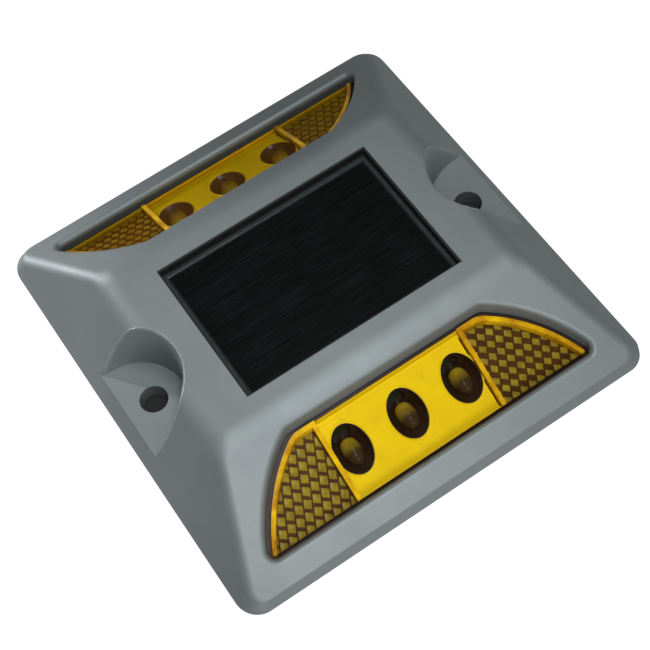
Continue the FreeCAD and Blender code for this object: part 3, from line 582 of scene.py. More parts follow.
def mirrored(points):
    """Plan on the other side of the marker's middle, turning the same way."""
    return [(-x, y) for x, y in reversed(points)]


print("points in one plan:", len(window_plan(0.9 * MM, 1.3 * MM, 3.1 * MM, 2.0 * MM, 0.8 * MM)))

# %% [markdown]
# A piece of a lens is a plan between two depths under the slope. The next helpers build it
# as a mesh, soften its sharp edges with a small bevel, and turn it half round for the rear
# window, which is the same as the front one. A bevel modifier could soften the edges too,
# but a finished mesh is easier to measure.

# %% Slope pieces
SHARP_ANGLE = 35


def link_piece(name, mesh, materials, sharp=SHARP_ANGLE):
    """Object for a finished bmesh, smooth except at edges sharper than an angle."""
    data = bpy.data.meshes.new(name)
    mesh.to_mesh(data)
    mesh.free()
    for material in materials:
        data.materials.append(material)
    for polygon in data.polygons:
        polygon.use_smooth = True
    data.set_sharp_from_angle(angle=math.radians(sharp))
    piece = bpy.data.objects.new(name, data)
    scene.collection.objects.link(piece)
    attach(piece, "root")
    return piece


def soften(mesh, width, segments):
    """Small bevel along every sharp edge of a mesh."""
    least = math.radians(SHARP_ANGLE)
    sharp = [edge for edge in mesh.edges
             if len(edge.link_faces) == 2 and edge.calc_face_angle() > least]
    bmesh.ops.bevel(mesh, geom=sharp, offset=width, segments=segments, profile=0.6,
                    affect="EDGES", clamp_overlap=True)


def add_layer(mesh, plan, top_depth, bottom_depth):
    """Closed block on a plan, between two depths under the front slope."""
    upper = [mesh.verts.new((x, y, slope_height(y, top_depth))) for x, y in plan]
    lower = [mesh.verts.new((x, y, slope_height(y, bottom_depth))) for x, y in plan]
    faces = [mesh.faces.new(upper), mesh.faces.new(list(reversed(lower)))]
    for index in range(len(plan)):
        following = (index + 1) % len(plan)
        faces.append(mesh.faces.new((upper[index], lower[index], lower[following],
                                     upper[following])))
    return faces


def face_end(mesh, end):
    """Turn the front's mesh half round when it is for the rear."""
    bmesh.ops.recalc_face_normals(mesh, faces=mesh.faces)
    if end == "rear":
        bmesh.ops.rotate(mesh, verts=mesh.verts, cent=(0, 0, 0),
                         matrix=Matrix.Rotation(math.pi, 3, "Z"))


# %% [markdown]
# Round pieces are made of rings of points, which are joined by bands of four-sided faces. A
# Screw modifier could turn a profile as well, but such rings can also follow a bent path, or
# lie aslant.

# %% Ring helpers


def circle(middle, side, upright, radius, steps):
    """Points evenly round a middle, in the plane of two directions."""
    points = []
    for step in range(steps):
        angle = 2 * math.pi * step / steps
        points.append(middle + side * radius * math.cos(angle)
                      + upright * radius * math.sin(angle))
    return points


def add_ring(mesh, points):
    """New vertices of a mesh at the given points."""
    return [mesh.verts.new(point) for point in points]


def join_rings(mesh, first, second):
    """Band of faces between two closed rings; a ring may be one vertex, repeated."""
    faces = []
    for index, (here, there) in enumerate(zip(first, second)):
        following = (index + 1) % len(first)
        corners = dict.fromkeys((here, first[following], second[following], there))
        faces.append(mesh.faces.new(list(corners)))
    return faces


# %% [markdown]
# ## Bolt seats
#
# A round seat for a bolt is sunk into each side of the casting, and a thin line of light runs
# along its rim. A colour mask alone could paint that line, but a thin rounded bead catches the
# light by its shape; its finish is also paler than the casting's, which is a painted highlight.
# The bead follows the line where the seat's wall meets the casting's top. Its height is found
# by dropping a ray on the casting from above, and its ends run out straight and get thinner.

# %% Seat rim sizes
SEAT_FLOOR = 5 * MM
SEAT_RADIUS = 13.5 * MM
SEAT_DRAFT = math.tan(math.radians(4))
RIM_OUT = 0.45 * MM
RIM_SUNK = 0.10 * MM
LEAST_RISE = 0.25 * MM
FIRST_GUESS = 14 * MM
RAY_START = 40 * MM
HALF_TURN_STEPS = 72
RUN_OUT_STEPS = 8
RUN_OUT = 0.45 * MM
RAY_TRIES = 4
BEAD_SIDES = 12
BEAD_END = 0.2
UNDER_TOP = 0.01 * MM
SEAT_RIMS = (("seat_rim_left", -1, 0.23 * MM), ("seat_rim_right", 1, 0.13 * MM))
# The bead's paler finish is a painted highlight along the seat's rim.
rim_highlight = finish("rim_painted_highlight", (0.42, 0.45, 0.45), (0.30, 0.325, 0.33), patch_scale=260.0,
                  patch_amount=1.0, roughness=0.42, spread=0.15, grain_scale=1800.0,
                  grain_depth=0.02, Metallic=0.5)
print("seat finish:", rim_highlight.name)

# %% Build the seat rims


def casting_tree():
    """The casting's faces, ready for ray casts."""
    shell = nodes["housing"]
    bpy.context.view_layer.update()
    corners = [shell.matrix_world @ vertex.co for vertex in shell.data.vertices]
    return BVHTree.FromPolygons(corners, [tuple(face.vertices) for face in shell.data.polygons])


def rim_path(side, casting_shape):
    """Points on the casting along a seat's rim, with the casting's normals there."""
    path = []
    for step in range(-RUN_OUT_STEPS, HALF_TURN_STEPS + RUN_OUT_STEPS + 1):
        share = min(max(step / HALF_TURN_STEPS, 0.0), 1.0)
        angle = math.pi / 2 + math.pi * share
        run_out = max(-step, step - HALF_TURN_STEPS, 0) * RUN_OUT
        height = FIRST_GUESS
        for _ in range(RAY_TRIES):
            radius = SEAT_RADIUS + (height - SEAT_FLOOR) * SEAT_DRAFT + RIM_OUT
            place = Vector((side * (SEAT_CENTRE + radius * math.cos(angle) + run_out),
                            radius * math.sin(angle), RAY_START))
            hit, normal = casting_shape.ray_cast(place, Vector((0, 0, -1)))[:2]
            height = hit.z
        if hit.z > SEAT_FLOOR + LEAST_RISE:
            path.append((hit, normal))
    return path


def seat_rim(name, side, bead, casting_shape):
    """Bead of a given radius along one seat's rim."""
    path = rim_path(side, casting_shape)
    mesh = bmesh.new()
    rings = []
    for index, (place, normal) in enumerate(path):
        ahead = path[min(index + 1, len(path) - 1)][0]
        behind = path[max(index - 1, 0)][0]
        along = (ahead - behind).normalized()
        across = along.cross(normal).normalized()
        upright = across.cross(along)
        thin = min(1.0, BEAD_END * (1 + min(index, len(path) - 1 - index)))
        points = circle(place - normal * RIM_SUNK, across, upright, thin * bead, BEAD_SIDES)
        for point in points:
            point.z = min(point.z, high.z - UNDER_TOP)
        rings.append(add_ring(mesh, points))
    for first, second in zip(rings, rings[1:]):
        join_rings(mesh, first, second)
    for ring in (rings[0], rings[-1]):
        mesh.faces.new(ring)
    bmesh.ops.recalc_face_normals(mesh, faces=mesh.faces)
    piece = link_piece(name, mesh, [rim_highlight])
    return piece


casting_shape = casting_tree()
for name, side, bead in SEAT_RIMS:
    piece = seat_rim(name, side, bead, casting_shape)
    print(name, len(piece.data.vertices), "points")

# %% [markdown]
# ## Lens frame
#
# The amber lens has a raised, glowing border round each reflector field and a divider wall
# on each side of the lamp window. Its lower part steps out into a dark flange that hides
# under the casting. Moulded amber plastic gathers light in its edges, so the border is
# brighter than the rest. The solid lens is one block with one colour, so it is replaced by
# separate pieces, each with its own finish. The border's plan is the outer plan minus the
# inner one, joined at the foot.

# %% Lens finishes
lens_edge = finish("amber_edge", (0.82, 0.50, 0.004), (0.36, 0.14, 0.003), patch_scale=130.0,
                   patch_amount=1.0, roughness=0.25, spread=0.1, grain_scale=700.0,
                   grain_depth=0.03, Coat_Weight=0.06, Coat_Roughness=0.1,
                   Specular_IOR_Level=0.14)
lens_wall = finish("amber_wall", (0.42, 0.22, 0.006), (0.20, 0.08, 0.004), patch_scale=150.0,
                   patch_amount=0.8, roughness=0.3, spread=0.1, grain_scale=700.0,
                   grain_depth=0.03, Specular_IOR_Level=0.3)
lens_flange = finish("amber_flange", (0.040, 0.018, 0.008), (0.020, 0.010, 0.006),
                     patch_scale=200.0, roughness=0.3, spread=0.1, grain_scale=900.0,
                     grain_depth=0.02, Coat_Weight=0.2)
lens_brow = finish("amber_brow", (0.95, 0.68, 0.004), (0.86, 0.54, 0.004), patch_scale=150.0,
                   patch_amount=0.8, roughness=0.35, spread=0.1, grain_scale=700.0,
                   grain_depth=0.03, Specular_IOR_Level=0.1)
lens_pane = clear_finish("amber_pane", (0.80, 0.38, 0.03), (0.62, 0.26, 0.02), mirror=0.008,
                         power=8.0, patch_scale=120.0, roughness=0.06, spread=0.03,
                         grain_scale=600.0, grain_depth=0.004)
for material in (lens_edge, lens_wall, lens_flange, lens_brow, lens_pane):
    print("lens finish:", material.name)

# %% Lens sizes
FRAME_TOP = 3.2 * MM
FACE_DEPTH = 3.8 * MM
PANE_BASE = 4.6 * MM
SKIN_BASE = 5.4 * MM
FLANGE_TOP = 4.8 * MM
FLANGE_BASE = 6.1 * MM
WALL_TOP = FACE_DEPTH - 0.1 * MM
RAISED = (0.9 * MM, 1.3 * MM, 1.2 * MM)
ROUNDED = {"top_cut": 1.6 * MM, "foot_cut": 0.7 * MM}
FLANGE_GAPS = (-1.5 * MM, -1.5 * MM, 0.4 * MM)
BORDER = 1.1 * MM
BORDER_BEVEL = 0.28 * MM
INNER_CUT = 1.0 * MM
PAST_FOOT = 1.0 * MM
FOOT_Y = -(WINDOW_FOOT - RAISED[2])
SKIRT_WALL = 0.15 * MM
SKIRT_POINTS = 240
BROW_TOP = WINDOW_TOP + 2.0 * MM
BROW_FOOT = WINDOW_FOOT - 1.8 * MM


def inset(amount):
    """Gaps of a plan that is drawn in from the raised border's."""
    return [gap + amount for gap in RAISED]


print("raised border:", [round(gap / MM, 2) for gap in RAISED], "mm inside the window")


# %% Build the lens frames
FOOT_PULL = 9
CLEAR_OF_FOOT = 0.5 * MM


def from_foot(points):
    """Plan that starts at its inner corner on the foot and goes up from there."""
    start = min(range(len(points)),
                key=lambda i: points[i][0] + FOOT_PULL * (points[i][1] - FOOT_Y))
    turned = points[start:] + points[:start]
    if turned[1][1] > FOOT_Y + CLEAR_OF_FOOT:
        return turned
    return [turned[0]] + turned[:0:-1]


def border_plan():
    """Band along the divider, the top and the arc of the right reflector field."""
    outer = clip(window_plan(*RAISED, **ROUNDED), 0, DIVIDER_INNER, True)
    inner = window_plan(RAISED[0] + BORDER, RAISED[1] + BORDER, RAISED[2] - PAST_FOOT,
                        top_cut=INNER_CUT)
    inner = clip(clip(inner, 0, DIVIDER_OUTER, True), 1, FOOT_Y, True)
    return from_foot(outer) + list(reversed(from_foot(inner)))


def lens_frame(end):
    """Raised borders round both reflector fields of one lens."""
    mesh = bmesh.new()
    band = border_plan()
    for plan in (band, mirrored(band)):
        add_layer(mesh, plan, FRAME_TOP, SKIN_BASE)
    face_end(mesh, end)
    soften(mesh, BORDER_BEVEL, 3)
    piece = link_piece("lens_frame_" + end, mesh, [lens_edge])
    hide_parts("lens_" + end)
    return piece


def spaced(points, count):
    """Closed plan set out again as evenly spaced points, from the top's middle."""
    start = max(range(len(points)), key=lambda i: (round(points[i][1], 6), -abs(points[i][0])))
    turned = points[start:] + points[:start]
    turned.append(turned[0])
    lengths = [0.0]
    for here, following in zip(turned, turned[1:]):
        lengths.append(lengths[-1] + math.dist(here, following))
    result = []
    side = 0
    for step in range(count):
        target = lengths[-1] * step / count
        while lengths[side + 1] < target:
            side += 1
        share = (target - lengths[side]) / (lengths[side + 1] - lengths[side])
        result.append(tuple(a + (b - a) * share for a, b in zip(turned[side], turned[side + 1])))
    return result


def lens_skirt(end):
    """Dark wall and flange under the border, which close the lens at its rim."""
    mesh = bmesh.new()
    wall = window_plan(*RAISED, **ROUNDED)
    inside = window_plan(*inset(SKIRT_WALL), **ROUNDED)
    flange = window_plan(*FLANGE_GAPS, **ROUNDED)
    rings = [(flange, FLANGE_BASE), (flange, FLANGE_TOP), (wall, FLANGE_TOP),
             (wall, WALL_TOP), (inside, WALL_TOP), (inside, FLANGE_BASE)]
    loops = [add_ring(mesh, [(x, y, slope_height(y, depth))
                             for x, y in spaced(plan, SKIRT_POINTS)])
             for plan, depth in rings]
    bands = [join_rings(mesh, first, second)
             for first, second in zip(loops, loops[1:] + loops[:1])]
    for face in bands[rings.index((inside, WALL_TOP))]:
        middle = face.calc_center_median()
        by_plate = abs(middle.x) < DIVIDER_INNER and abs(middle.y) < BROW_TOP
        by_foot = abs(middle.y) > BROW_FOOT
        face.material_index = 2 if by_plate or by_foot else 1
    face_end(mesh, end)
    piece = link_piece("lens_skirt_" + end, mesh, [lens_flange, lens_wall, lens_brow])
    return piece


for end in ("front", "rear"):
    print(lens_frame(end).name, lens_skirt(end).name)

# %% [markdown]
# The panes are thin clear sheets over the lamp window and the reflectors. They could be
# one sheet, but it would pass through the divider walls, so it is clipped into three. The
# clear finish lets the lamps' light through to what lies behind, and keeps the shine of the
# sheet at a low angle.

# %% Build the panes
PANE_GAP = 0.2 * MM
PANE_PLAY = 0.05 * MM


def lens_panes(end):
    """Clear sheets over the middle window and both reflector fields."""
    mesh = bmesh.new()
    plan = window_plan(*inset(PANE_GAP), top_cut=ROUNDED["top_cut"])
    edge = DIVIDER_INNER - PANE_PLAY
    middle = clip(clip(plan, 0, -edge, True), 0, edge, False)
    side = clip(plan, 0, DIVIDER_OUTER + PANE_PLAY, True)
    for part in (middle, side, mirrored(side)):
        add_layer(mesh, part, FACE_DEPTH, PANE_BASE)
    face_end(mesh, end)
    piece = link_piece("lens_panes_" + end, mesh, [lens_pane])
    return piece


for end in ("front", "rear"):
    print(lens_panes(end).name)

# %% [markdown]
# Amber plastic also takes some light away, and more of it when it is crossed at a slant.
# Absorption in a solid pane would do that, but slowly. A thin sheet under each pane stands
# for it: its alpha rises as it turns from the eye, as in any tinted glass.

# %% Tinted sheet finish
TINT_FACED = 0.04
TINT_SLANTED = 0.70
lens_tint = finish("amber_tint", (0.150, 0.052, 0.001), (0.09, 0.03, 0.001), patch_scale=90.0,
                   patch_amount=0.7, roughness=0.4, grain_scale=600.0, grain_depth=0.01,
                   Specular_IOR_Level=0.0)


def tint_alpha(material, faced, slanted):
    """Alpha of a tinted sheet, from the faced view to the slanted one."""
    tree = material.node_tree
    facing = tree.nodes.new("ShaderNodeLayerWeight")
    facing.inputs["Blend"].default_value = 0.5
    level = ranged(tree, facing.outputs["Facing"], least=faced, most=slanted)
    tree.links.new(level, tree.nodes["Principled BSDF"].inputs["Alpha"])


tint_alpha(lens_tint, TINT_FACED, TINT_SLANTED)
print("tint from", TINT_FACED, "to", TINT_SLANTED)

# %% Build the tinted sheets
TINT_GAP = 0.02 * MM


def tint_sheet(end):
    """One face just under the panes."""
    mesh = bmesh.new()
    plan = window_plan(*inset(PANE_GAP), top_cut=ROUNDED["top_cut"])
    mesh.faces.new(add_ring(mesh, [(x, y, slope_height(y, PANE_BASE + TINT_GAP))
                                   for x, y in plan]))
    face_end(mesh, end)
    piece = link_piece("lens_tint_" + end, mesh, [lens_tint])
    return piece


for end in ("front", "rear"):
    print(tint_sheet(end).name)

# %% [markdown]
# ## Reflectors
#
# A reflector is a sheet of small corner prisms. From outside it looks like a woven mat:
# olive yellow blocks in staggered rows, with a brown net between them. A texture could show
# that pattern, but each block is real geometry here, a small raised tile with soft edges,
# so that it catches the light by itself. The rows follow the marker's width.
# The tiles lean, because a prism shows one of its slanted sides, and the left sheet shows
# taller tiles than the right one.

# %% Reflector finishes
prism_face = finish("prism_face", (0.360, 0.270, 0.016), (0.200, 0.130, 0.010),
                    patch_scale=420.0, patch_amount=0.8, roughness=0.3, spread=0.15,
                    grain_scale=1500.0, grain_depth=0.02, Specular_IOR_Level=0.12)
prism_net = finish("prism_net", (0.085, 0.033, 0.006), (0.045, 0.018, 0.005),
                   patch_scale=420.0, patch_amount=0.8, roughness=0.35, spread=0.15,
                   grain_scale=1500.0, grain_depth=0.02, Specular_IOR_Level=0.12)
print("reflector finishes:", prism_face.name, prism_net.name)

# %% Reflector sizes
# Each sheet has the x of a tile in its first row, and its tiles' width and length as
# shares of the two slants.
SHEETS = {"right": (26.0 * MM, 0.84, 0.98), "left": (-25.1 * MM, 0.86, 1.36)}
SHEET_GAP = 0.25 * MM
WALL_GAP = 0.1 * MM
TILE_SUNK = 0.1 * MM
FIRST_ROW = -37.3 * MM
ROWS = range(-2, 9)
COLUMNS = range(-14, 15)
LEAST_TILE = 0.15 * MM * MM
TILE_BEVEL = 0.16 * MM
ROW_PITCH = 2.45 * MM
TILE_PITCH = 2.57 * MM
SLANT_LONG = Vector((1.885 * MM, -1.25 * MM))
SLANT_SHORT = Vector((-0.685 * MM, -1.25 * MM))
NET_DEPTH = 5.95 * MM
TILE_DEPTH = 5.55 * MM
SHEET_BASE = 6.7 * MM
print("rows:", len(ROWS), "at", round(ROW_PITCH / MM, 2), "mm")

# %% Clip a tile to its sheet


def clip_line(points, start, along):
    """Part of a convex plan on the left of a line through start."""
    side = [(along.x * (y - start.y) - along.y * (x - start.x)) for x, y in points]
    kept = []
    for index, here in enumerate(points):
        following = (index + 1) % len(points)
        if side[index] >= 0:
            kept.append(here)
        if (side[index] >= 0) != (side[following] >= 0):
            share = side[index] / (side[index] - side[following])
            kept.append(tuple(a + (b - a) * share for a, b in zip(here, points[following])))
    return kept


def area(points):
    """Area of a plan, below zero when it turns clockwise."""
    total = 0.0
    for (x, y), (x2, y2) in zip(points, points[1:] + points[:1]):
        total += x * y2 - x2 * y
    return total / 2


def clip_to(points, border):
    """Part of a convex plan inside another convex plan."""
    turning = border if area(border) > 0 else list(reversed(border))
    for here, following in zip(turning, turning[1:] + turning[:1]):
        start = Vector(here)
        along = Vector(following) - start
        if along.length < 1e-6:
            continue
        points = clip_line(points, start, along)
        if len(points) < 3:
            return []
    return points


# %% Build the reflectors


def reflector(end, side):
    """Sheet with its raised tiles; gives back how many tiles it has."""
    name = f"reflector_{end}_{side}"
    sheet = window_plan(*inset(SHEET_GAP), top_cut=ROUNDED["top_cut"])
    sheet = clip(sheet, 0, DIVIDER_OUTER + WALL_GAP, True)
    if side == "left":
        sheet = mirrored(sheet)
    start, width, length = SHEETS[side]
    mesh = bmesh.new()
    add_layer(mesh, sheet, NET_DEPTH, SHEET_BASE)
    for face in mesh.faces:
        face.material_index = 1
    tiles = 0
    for row in ROWS:
        shift = TILE_PITCH / 2 if row % 2 else 0.0
        for column in COLUMNS:
            middle = Vector((start + shift + column * TILE_PITCH, FIRST_ROW - row * ROW_PITCH))
            corners = [middle + SLANT_LONG * a * width / 2 + SLANT_SHORT * b * length / 2
                       for a, b in ((-1, -1), (1, -1), (1, 1), (-1, 1))]
            tile = clip_to([tuple(corner) for corner in corners], sheet)
            if len(tile) < 3 or abs(area(tile)) < LEAST_TILE:
                continue
            block = add_layer(mesh, tile, TILE_DEPTH, NET_DEPTH + TILE_SUNK)
            bmesh.ops.bevel(mesh, geom=list(block[0].edges), offset=TILE_BEVEL, segments=2,
                            profile=0.5, affect="EDGES", clamp_overlap=True)
            tiles += 1
    face_end(mesh, end)
    piece = link_piece("woven_" + name, mesh, [prism_face, prism_net])
    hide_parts(name)
    return tiles


for end in ("front", "rear"):
    for side in ("left", "right"):
        print("reflector", end, side, "tiles:", reflector(end, side))

# %% [markdown]
# ## Lamp window
#
# Behind the middle pane lies a bright yellow plate, a little stained by its moulding, with
# a socket round each lamp. From outside a socket is a dark cup: a turned shell whose mouth
# is cut off level with the slanted plate. Its near-black finish is painted shade for the
# shadow deep in each bore. The solid plate keeps its shape. The sockets could be bored out of
# it, but a separate dark shell in each bore also gives the cup its own finish.

# %% Lamp window sizes
BORE_TILT = math.radians(16)
BORE_AXIS = Vector((0, -math.cos(BORE_TILT), math.sin(BORE_TILT)))
ACROSS = Vector((1, 0, 0))
BORE_UP = BORE_AXIS.cross(ACROSS)
BORE_Y = 42.5 * MM
PLATE_TOP = 5.5 * MM
PLATE_NORMAL = Vector((0, -FALL, 1)).normalized()
LAMP_SPACING = 16.3 * MM
CUP_RADIUS = 4.85 * MM
CUP_DEPTH = 6.0 * MM
CUP_WALL = 0.15 * MM
CUP_THROAT = 2.7 * MM
RING_STEPS = 56


def bore_mouth(index):
    """Middle of a bore's mouth on the plate, for lamp 1, 2 or 3 from the left."""
    return Vector(((index - 2) * LAMP_SPACING, -BORE_Y, slope_height(BORE_Y, PLATE_TOP)))


def plate_level(depth):
    """Point at a depth under the plate's top."""
    return Vector((0, -BORE_Y, slope_height(BORE_Y, PLATE_TOP + depth)))


print("plate top", round(bore_mouth(2).z, 4), "at the bores")

# %% Lamp plate
SMUDGE_SHARE = 0.6
plate_yellow = finish("lamp_plate_yellow", (0.93, 0.66, 0.003), (0.80, 0.55, 0.003),
                      patch_scale=110.0, patch_amount=0.6, roughness=0.4, spread=0.15,
                      grain_scale=900.0, grain_depth=0.02, Specular_IOR_Level=0.08)


def add_smudges(material, colour, scale, start, full):
    """Faint dirty marks where a coarse noise rises above a start value."""
    tree = material.node_tree
    place = tree.nodes.new("ShaderNodeTexCoord")
    noise = tree.nodes.new("ShaderNodeTexNoise")
    noise.inputs["Scale"].default_value = scale
    noise.inputs["Detail"].default_value = 6.0
    noise.inputs["Roughness"].default_value = 0.7
    tree.links.new(place.outputs["Object"], noise.inputs["Vector"])
    marks = ranged(tree, noise.outputs["Fac"], start=start, full=full, most=SMUDGE_SHARE)
    paint_over(material, marks, colour)


add_smudges(plate_yellow, (0.30, 0.19, 0.004), 210.0, 0.60, 0.74)
for end in ("front", "rear"):
    dress("lamp_plate_" + end, plate_yellow)
print("plates dressed")

# %% Plate margins
LEDGE = 0.8 * MM
LEDGE_PLAY = 0.02 * MM


def plate_margin(end):
    """Yellow ledge of the lens along the plate's long edges, level with the plate."""
    least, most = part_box("lamp_plate_front")
    plan = window_plan(*inset(SHEET_GAP))
    plan = clip(clip(plan, 0, -DIVIDER_INNER, True), 0, DIVIDER_INNER, False)
    mesh = bmesh.new()
    for limit, above in ((most.y + LEDGE_PLAY, True), (least.y - LEDGE_PLAY, False)):
        add_layer(mesh, clip(plan, 1, limit, above), PLATE_TOP, PLATE_TOP + LEDGE)
    face_end(mesh, end)
    piece = link_piece("plate_margin_" + end, mesh, [plate_yellow])
    return piece


for end in ("front", "rear"):
    print(plate_margin(end).name)

# %% [markdown]
# Each cup is turned about its bore's axis, which leans 16 degrees up from level, and is then
# cut off along the plate. Built in that order, the mouth gets its oval shape by itself.

# %% Build the lamp cups
CUP_PROUD = 0.03 * MM
# Near-black painted shade for the shadow deep in each bore; the lamps' holders use it too.
cup_painted_shade = finish("lamp_cup_painted_shade", (0.022, 0.015, 0.012), (0.010, 0.007, 0.006),
                  patch_scale=500.0, roughness=0.3, spread=0.15, grain_scale=1500.0,
                  grain_depth=0.01, Coat_Weight=0.5)


def lamp_cup(end, index):
    """Thin shell with a narrower throat, open at its slanted mouth."""
    mesh = bmesh.new()
    inner = CUP_RADIUS - CUP_WALL
    beyond = CUP_DEPTH
    profile = [(CUP_RADIUS, beyond), (CUP_RADIUS, -CUP_DEPTH), (CUP_THROAT, -CUP_DEPTH),
               (CUP_THROAT, CUP_WALL - CUP_DEPTH), (inner, CUP_WALL - CUP_DEPTH),
               (inner, beyond)]
    rings = [add_ring(mesh, circle(bore_mouth(index) + BORE_AXIS * along, ACROSS, BORE_UP,
                                   radius, RING_STEPS))
             for radius, along in profile]
    for first, second in zip(rings, rings[1:]):
        join_rings(mesh, first, second)
    bmesh.ops.bisect_plane(mesh, geom=mesh.verts[:] + mesh.edges[:] + mesh.faces[:],
                           plane_co=plate_level(-CUP_PROUD), plane_no=PLATE_NORMAL,
                           clear_outer=True)
    open_edges = [edge for edge in mesh.edges if len(edge.link_faces) == 1]
    bmesh.ops.bridge_loops(mesh, edges=open_edges)
    face_end(mesh, end)
    piece = link_piece(f"lamp_cup_{end}_{index}", mesh, [cup_painted_shade])
    return piece


for end in ("front", "rear"):
    print([lamp_cup(end, index).name for index in (1, 2, 3)])

# %% [markdown]
# A narrow raised lip runs round the mouth of each bore. It comes from the mould's core pin
# and catches a crescent of light on its lower side. It is made of four rings of points,
# each slid along the bore's axis until it lies at its own depth under the plate's top.

# %% Build the bore lips
LIP_PROFILE = [(0.02 * MM, 0.10 * MM), (0.06 * MM, -0.18 * MM), (0.26 * MM, -0.24 * MM),
               (0.50 * MM, 0.10 * MM)]


def bore_lip(end, index):
    """Raised ring round a bore, from the (wider, depth) pairs of the profile."""
    mesh = bmesh.new()
    rings = []
    for wider, depth in LIP_PROFILE:
        ring = circle(bore_mouth(index), ACROSS, BORE_UP, CUP_RADIUS + wider, RING_STEPS)
        for point in ring:
            along = (plate_level(depth) - point).dot(PLATE_NORMAL) / BORE_AXIS.dot(PLATE_NORMAL)
            point += BORE_AXIS * along
        rings.append(add_ring(mesh, ring))
    for first, second in zip(rings, rings[1:] + rings[:1]):
        join_rings(mesh, first, second)
    face_end(mesh, end)
    piece = link_piece(f"bore_lip_{end}_{index}", mesh, [lens_brow])
    return piece


for end in ("front", "rear"):
    print([bore_lip(end, index).name for index in (1, 2, 3)])

# %% [markdown]
# A lamp's colour changes along it: yellow at its foot, and a painted shade darkens its tip.
# Two finishes with a line between them would look painted. So one finish takes one more
# mask: how far a point lies along the lamp, from foot to tip. The rear lamps are the front
# ones turned half round, so the mask uses the size of y.

# %% Lamp finish
LAMP_FOOT = Vector((0, -38.9 * MM, 6.25 * MM))
MASK_FOOT = 38.9 * MM
MASK_TIP = 46.3 * MM
TIP_SHADE_START = 0.10
TIP_SHADE_FULL = 0.62


def along_lamp():
    """Mask from 0 at a lamp's foot to 1 at its tip."""
    group, enter, leave = new_group(
        "along_lamp",
        [("Foot", "NodeSocketFloat", MASK_FOOT), ("Tip", "NodeSocketFloat", MASK_TIP)],
        [("Share", "NodeSocketFloat")])
    place = group.nodes.new("ShaderNodeTexCoord")
    parts = group.nodes.new("ShaderNodeSeparateXYZ")
    share = group.nodes.new("ShaderNodeMapRange")
    link = group.links.new
    link(place.outputs["Object"], parts.inputs["Vector"])
    link(math_node(group, "ABSOLUTE", parts.outputs["Y"]), share.inputs["Value"])
    link(enter.outputs["Foot"], share.inputs["From Min"])
    link(enter.outputs["Tip"], share.inputs["From Max"])
    link(share.outputs["Result"], leave.inputs["Share"])
    return group


def lamp_material():
    """Yellow at the lamp's foot, darkening to a near-black tip that is painted shade."""
    material = finish("lamp_amber", (0.44, 0.31, 0.018), (0.30, 0.20, 0.012),
                      patch_scale=500.0, roughness=0.22, spread=0.08, grain_scale=900.0,
                      grain_depth=0.02, Specular_IOR_Level=0.07)
    tree = material.node_tree
    mask = tree.nodes.new("ShaderNodeGroup")
    mask.node_tree = along_lamp()
    # Painted shade: the colour darkens from the foot to the lamp's tip.
    tip_shade = ranged(tree, mask.outputs["Share"], start=TIP_SHADE_START, full=TIP_SHADE_FULL)
    paint_over(material, tip_shade, (0.040, 0.025, 0.010))
    return material


lamp_amber = lamp_material()
print("lamp finish:", lamp_amber.name)

# %% [markdown]
# The solid lamps end in a plain half ball. A real one has a longer, egg-shaped tip and a
# narrow holder behind it, and lies level near the bottom of its cup. So each is turned
# again here from a finer profile, with an end of one point. The holder gets the cups'
# near-black finish, which is painted shade.

# %% Build the lamps
LAMP_LENGTH = 7.2 * MM
LAMP_RADIUS = 2.5 * MM
TIP_LENGTH = 4.2 * MM
HOLDER_RADIUS = 1.2 * MM
HOLDER_LENGTH = 1.2 * MM
FOOT_STEPS = 6
TIP_STEPS = 12
LAMP_STEPS = 40
POINTED = 0.01 * MM


def lamp_profile():
    """Radius and distance from the foot along one side of a lamp."""
    points = [(0.0, -HOLDER_LENGTH), (HOLDER_RADIUS, -HOLDER_LENGTH), (HOLDER_RADIUS, 0.0)]
    straight = LAMP_LENGTH - TIP_LENGTH
    for step in range(1, FOOT_STEPS + 1):
        angle = math.pi / 2 * step / FOOT_STEPS
        points.append((HOLDER_RADIUS + (LAMP_RADIUS - HOLDER_RADIUS) * math.sin(angle),
                       straight * (1 - math.cos(angle))))
    for step in range(1, TIP_STEPS + 1):
        angle = math.pi / 2 * step / TIP_STEPS
        points.append((LAMP_RADIUS * math.cos(angle), straight + TIP_LENGTH * math.sin(angle)))
    return points


def lamp_piece(end, index):
    """Level lamp on its holder; the holder's faces get the cups' near-black painted shade."""
    mesh = bmesh.new()
    rings = []
    for radius, distance in lamp_profile():
        middle = LAMP_FOOT + Vector(((index - 2) * LAMP_SPACING, -distance, 0))
        if radius < POINTED:
            rings.append([mesh.verts.new(middle)] * LAMP_STEPS)
        else:
            rings.append(add_ring(mesh, circle(middle, ACROSS, Vector((0, 0, 1)), radius,
                                               LAMP_STEPS)))
    bands = [join_rings(mesh, first, second) for first, second in zip(rings, rings[1:])]
    for face in bands[0] + bands[1]:
        face.material_index = 1
    face_end(mesh, end)
    name = f"lamp_{end}_{index}"
    piece = link_piece("fine_" + name, mesh, [lamp_amber, cup_painted_shade])
    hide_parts(name)
    return piece


for end in ("front", "rear"):
    print([lamp_piece(end, index).name for index in (1, 2, 3)])

# %% [markdown]
# ## Solar panel
#
# The panel lies under a clear cover that is sunk a little into the top. The cells are
# almost black, with fine uneven lines along their length. The board shows as a dark grey
# green border round them, and a thin black seal fills the gap to the casting. Each line
# could be modelled, but a noise that is stretched along the cell gives the same fine lines.

# %% Cell finish
LINE_STRETCH = (70, 2300, 1)


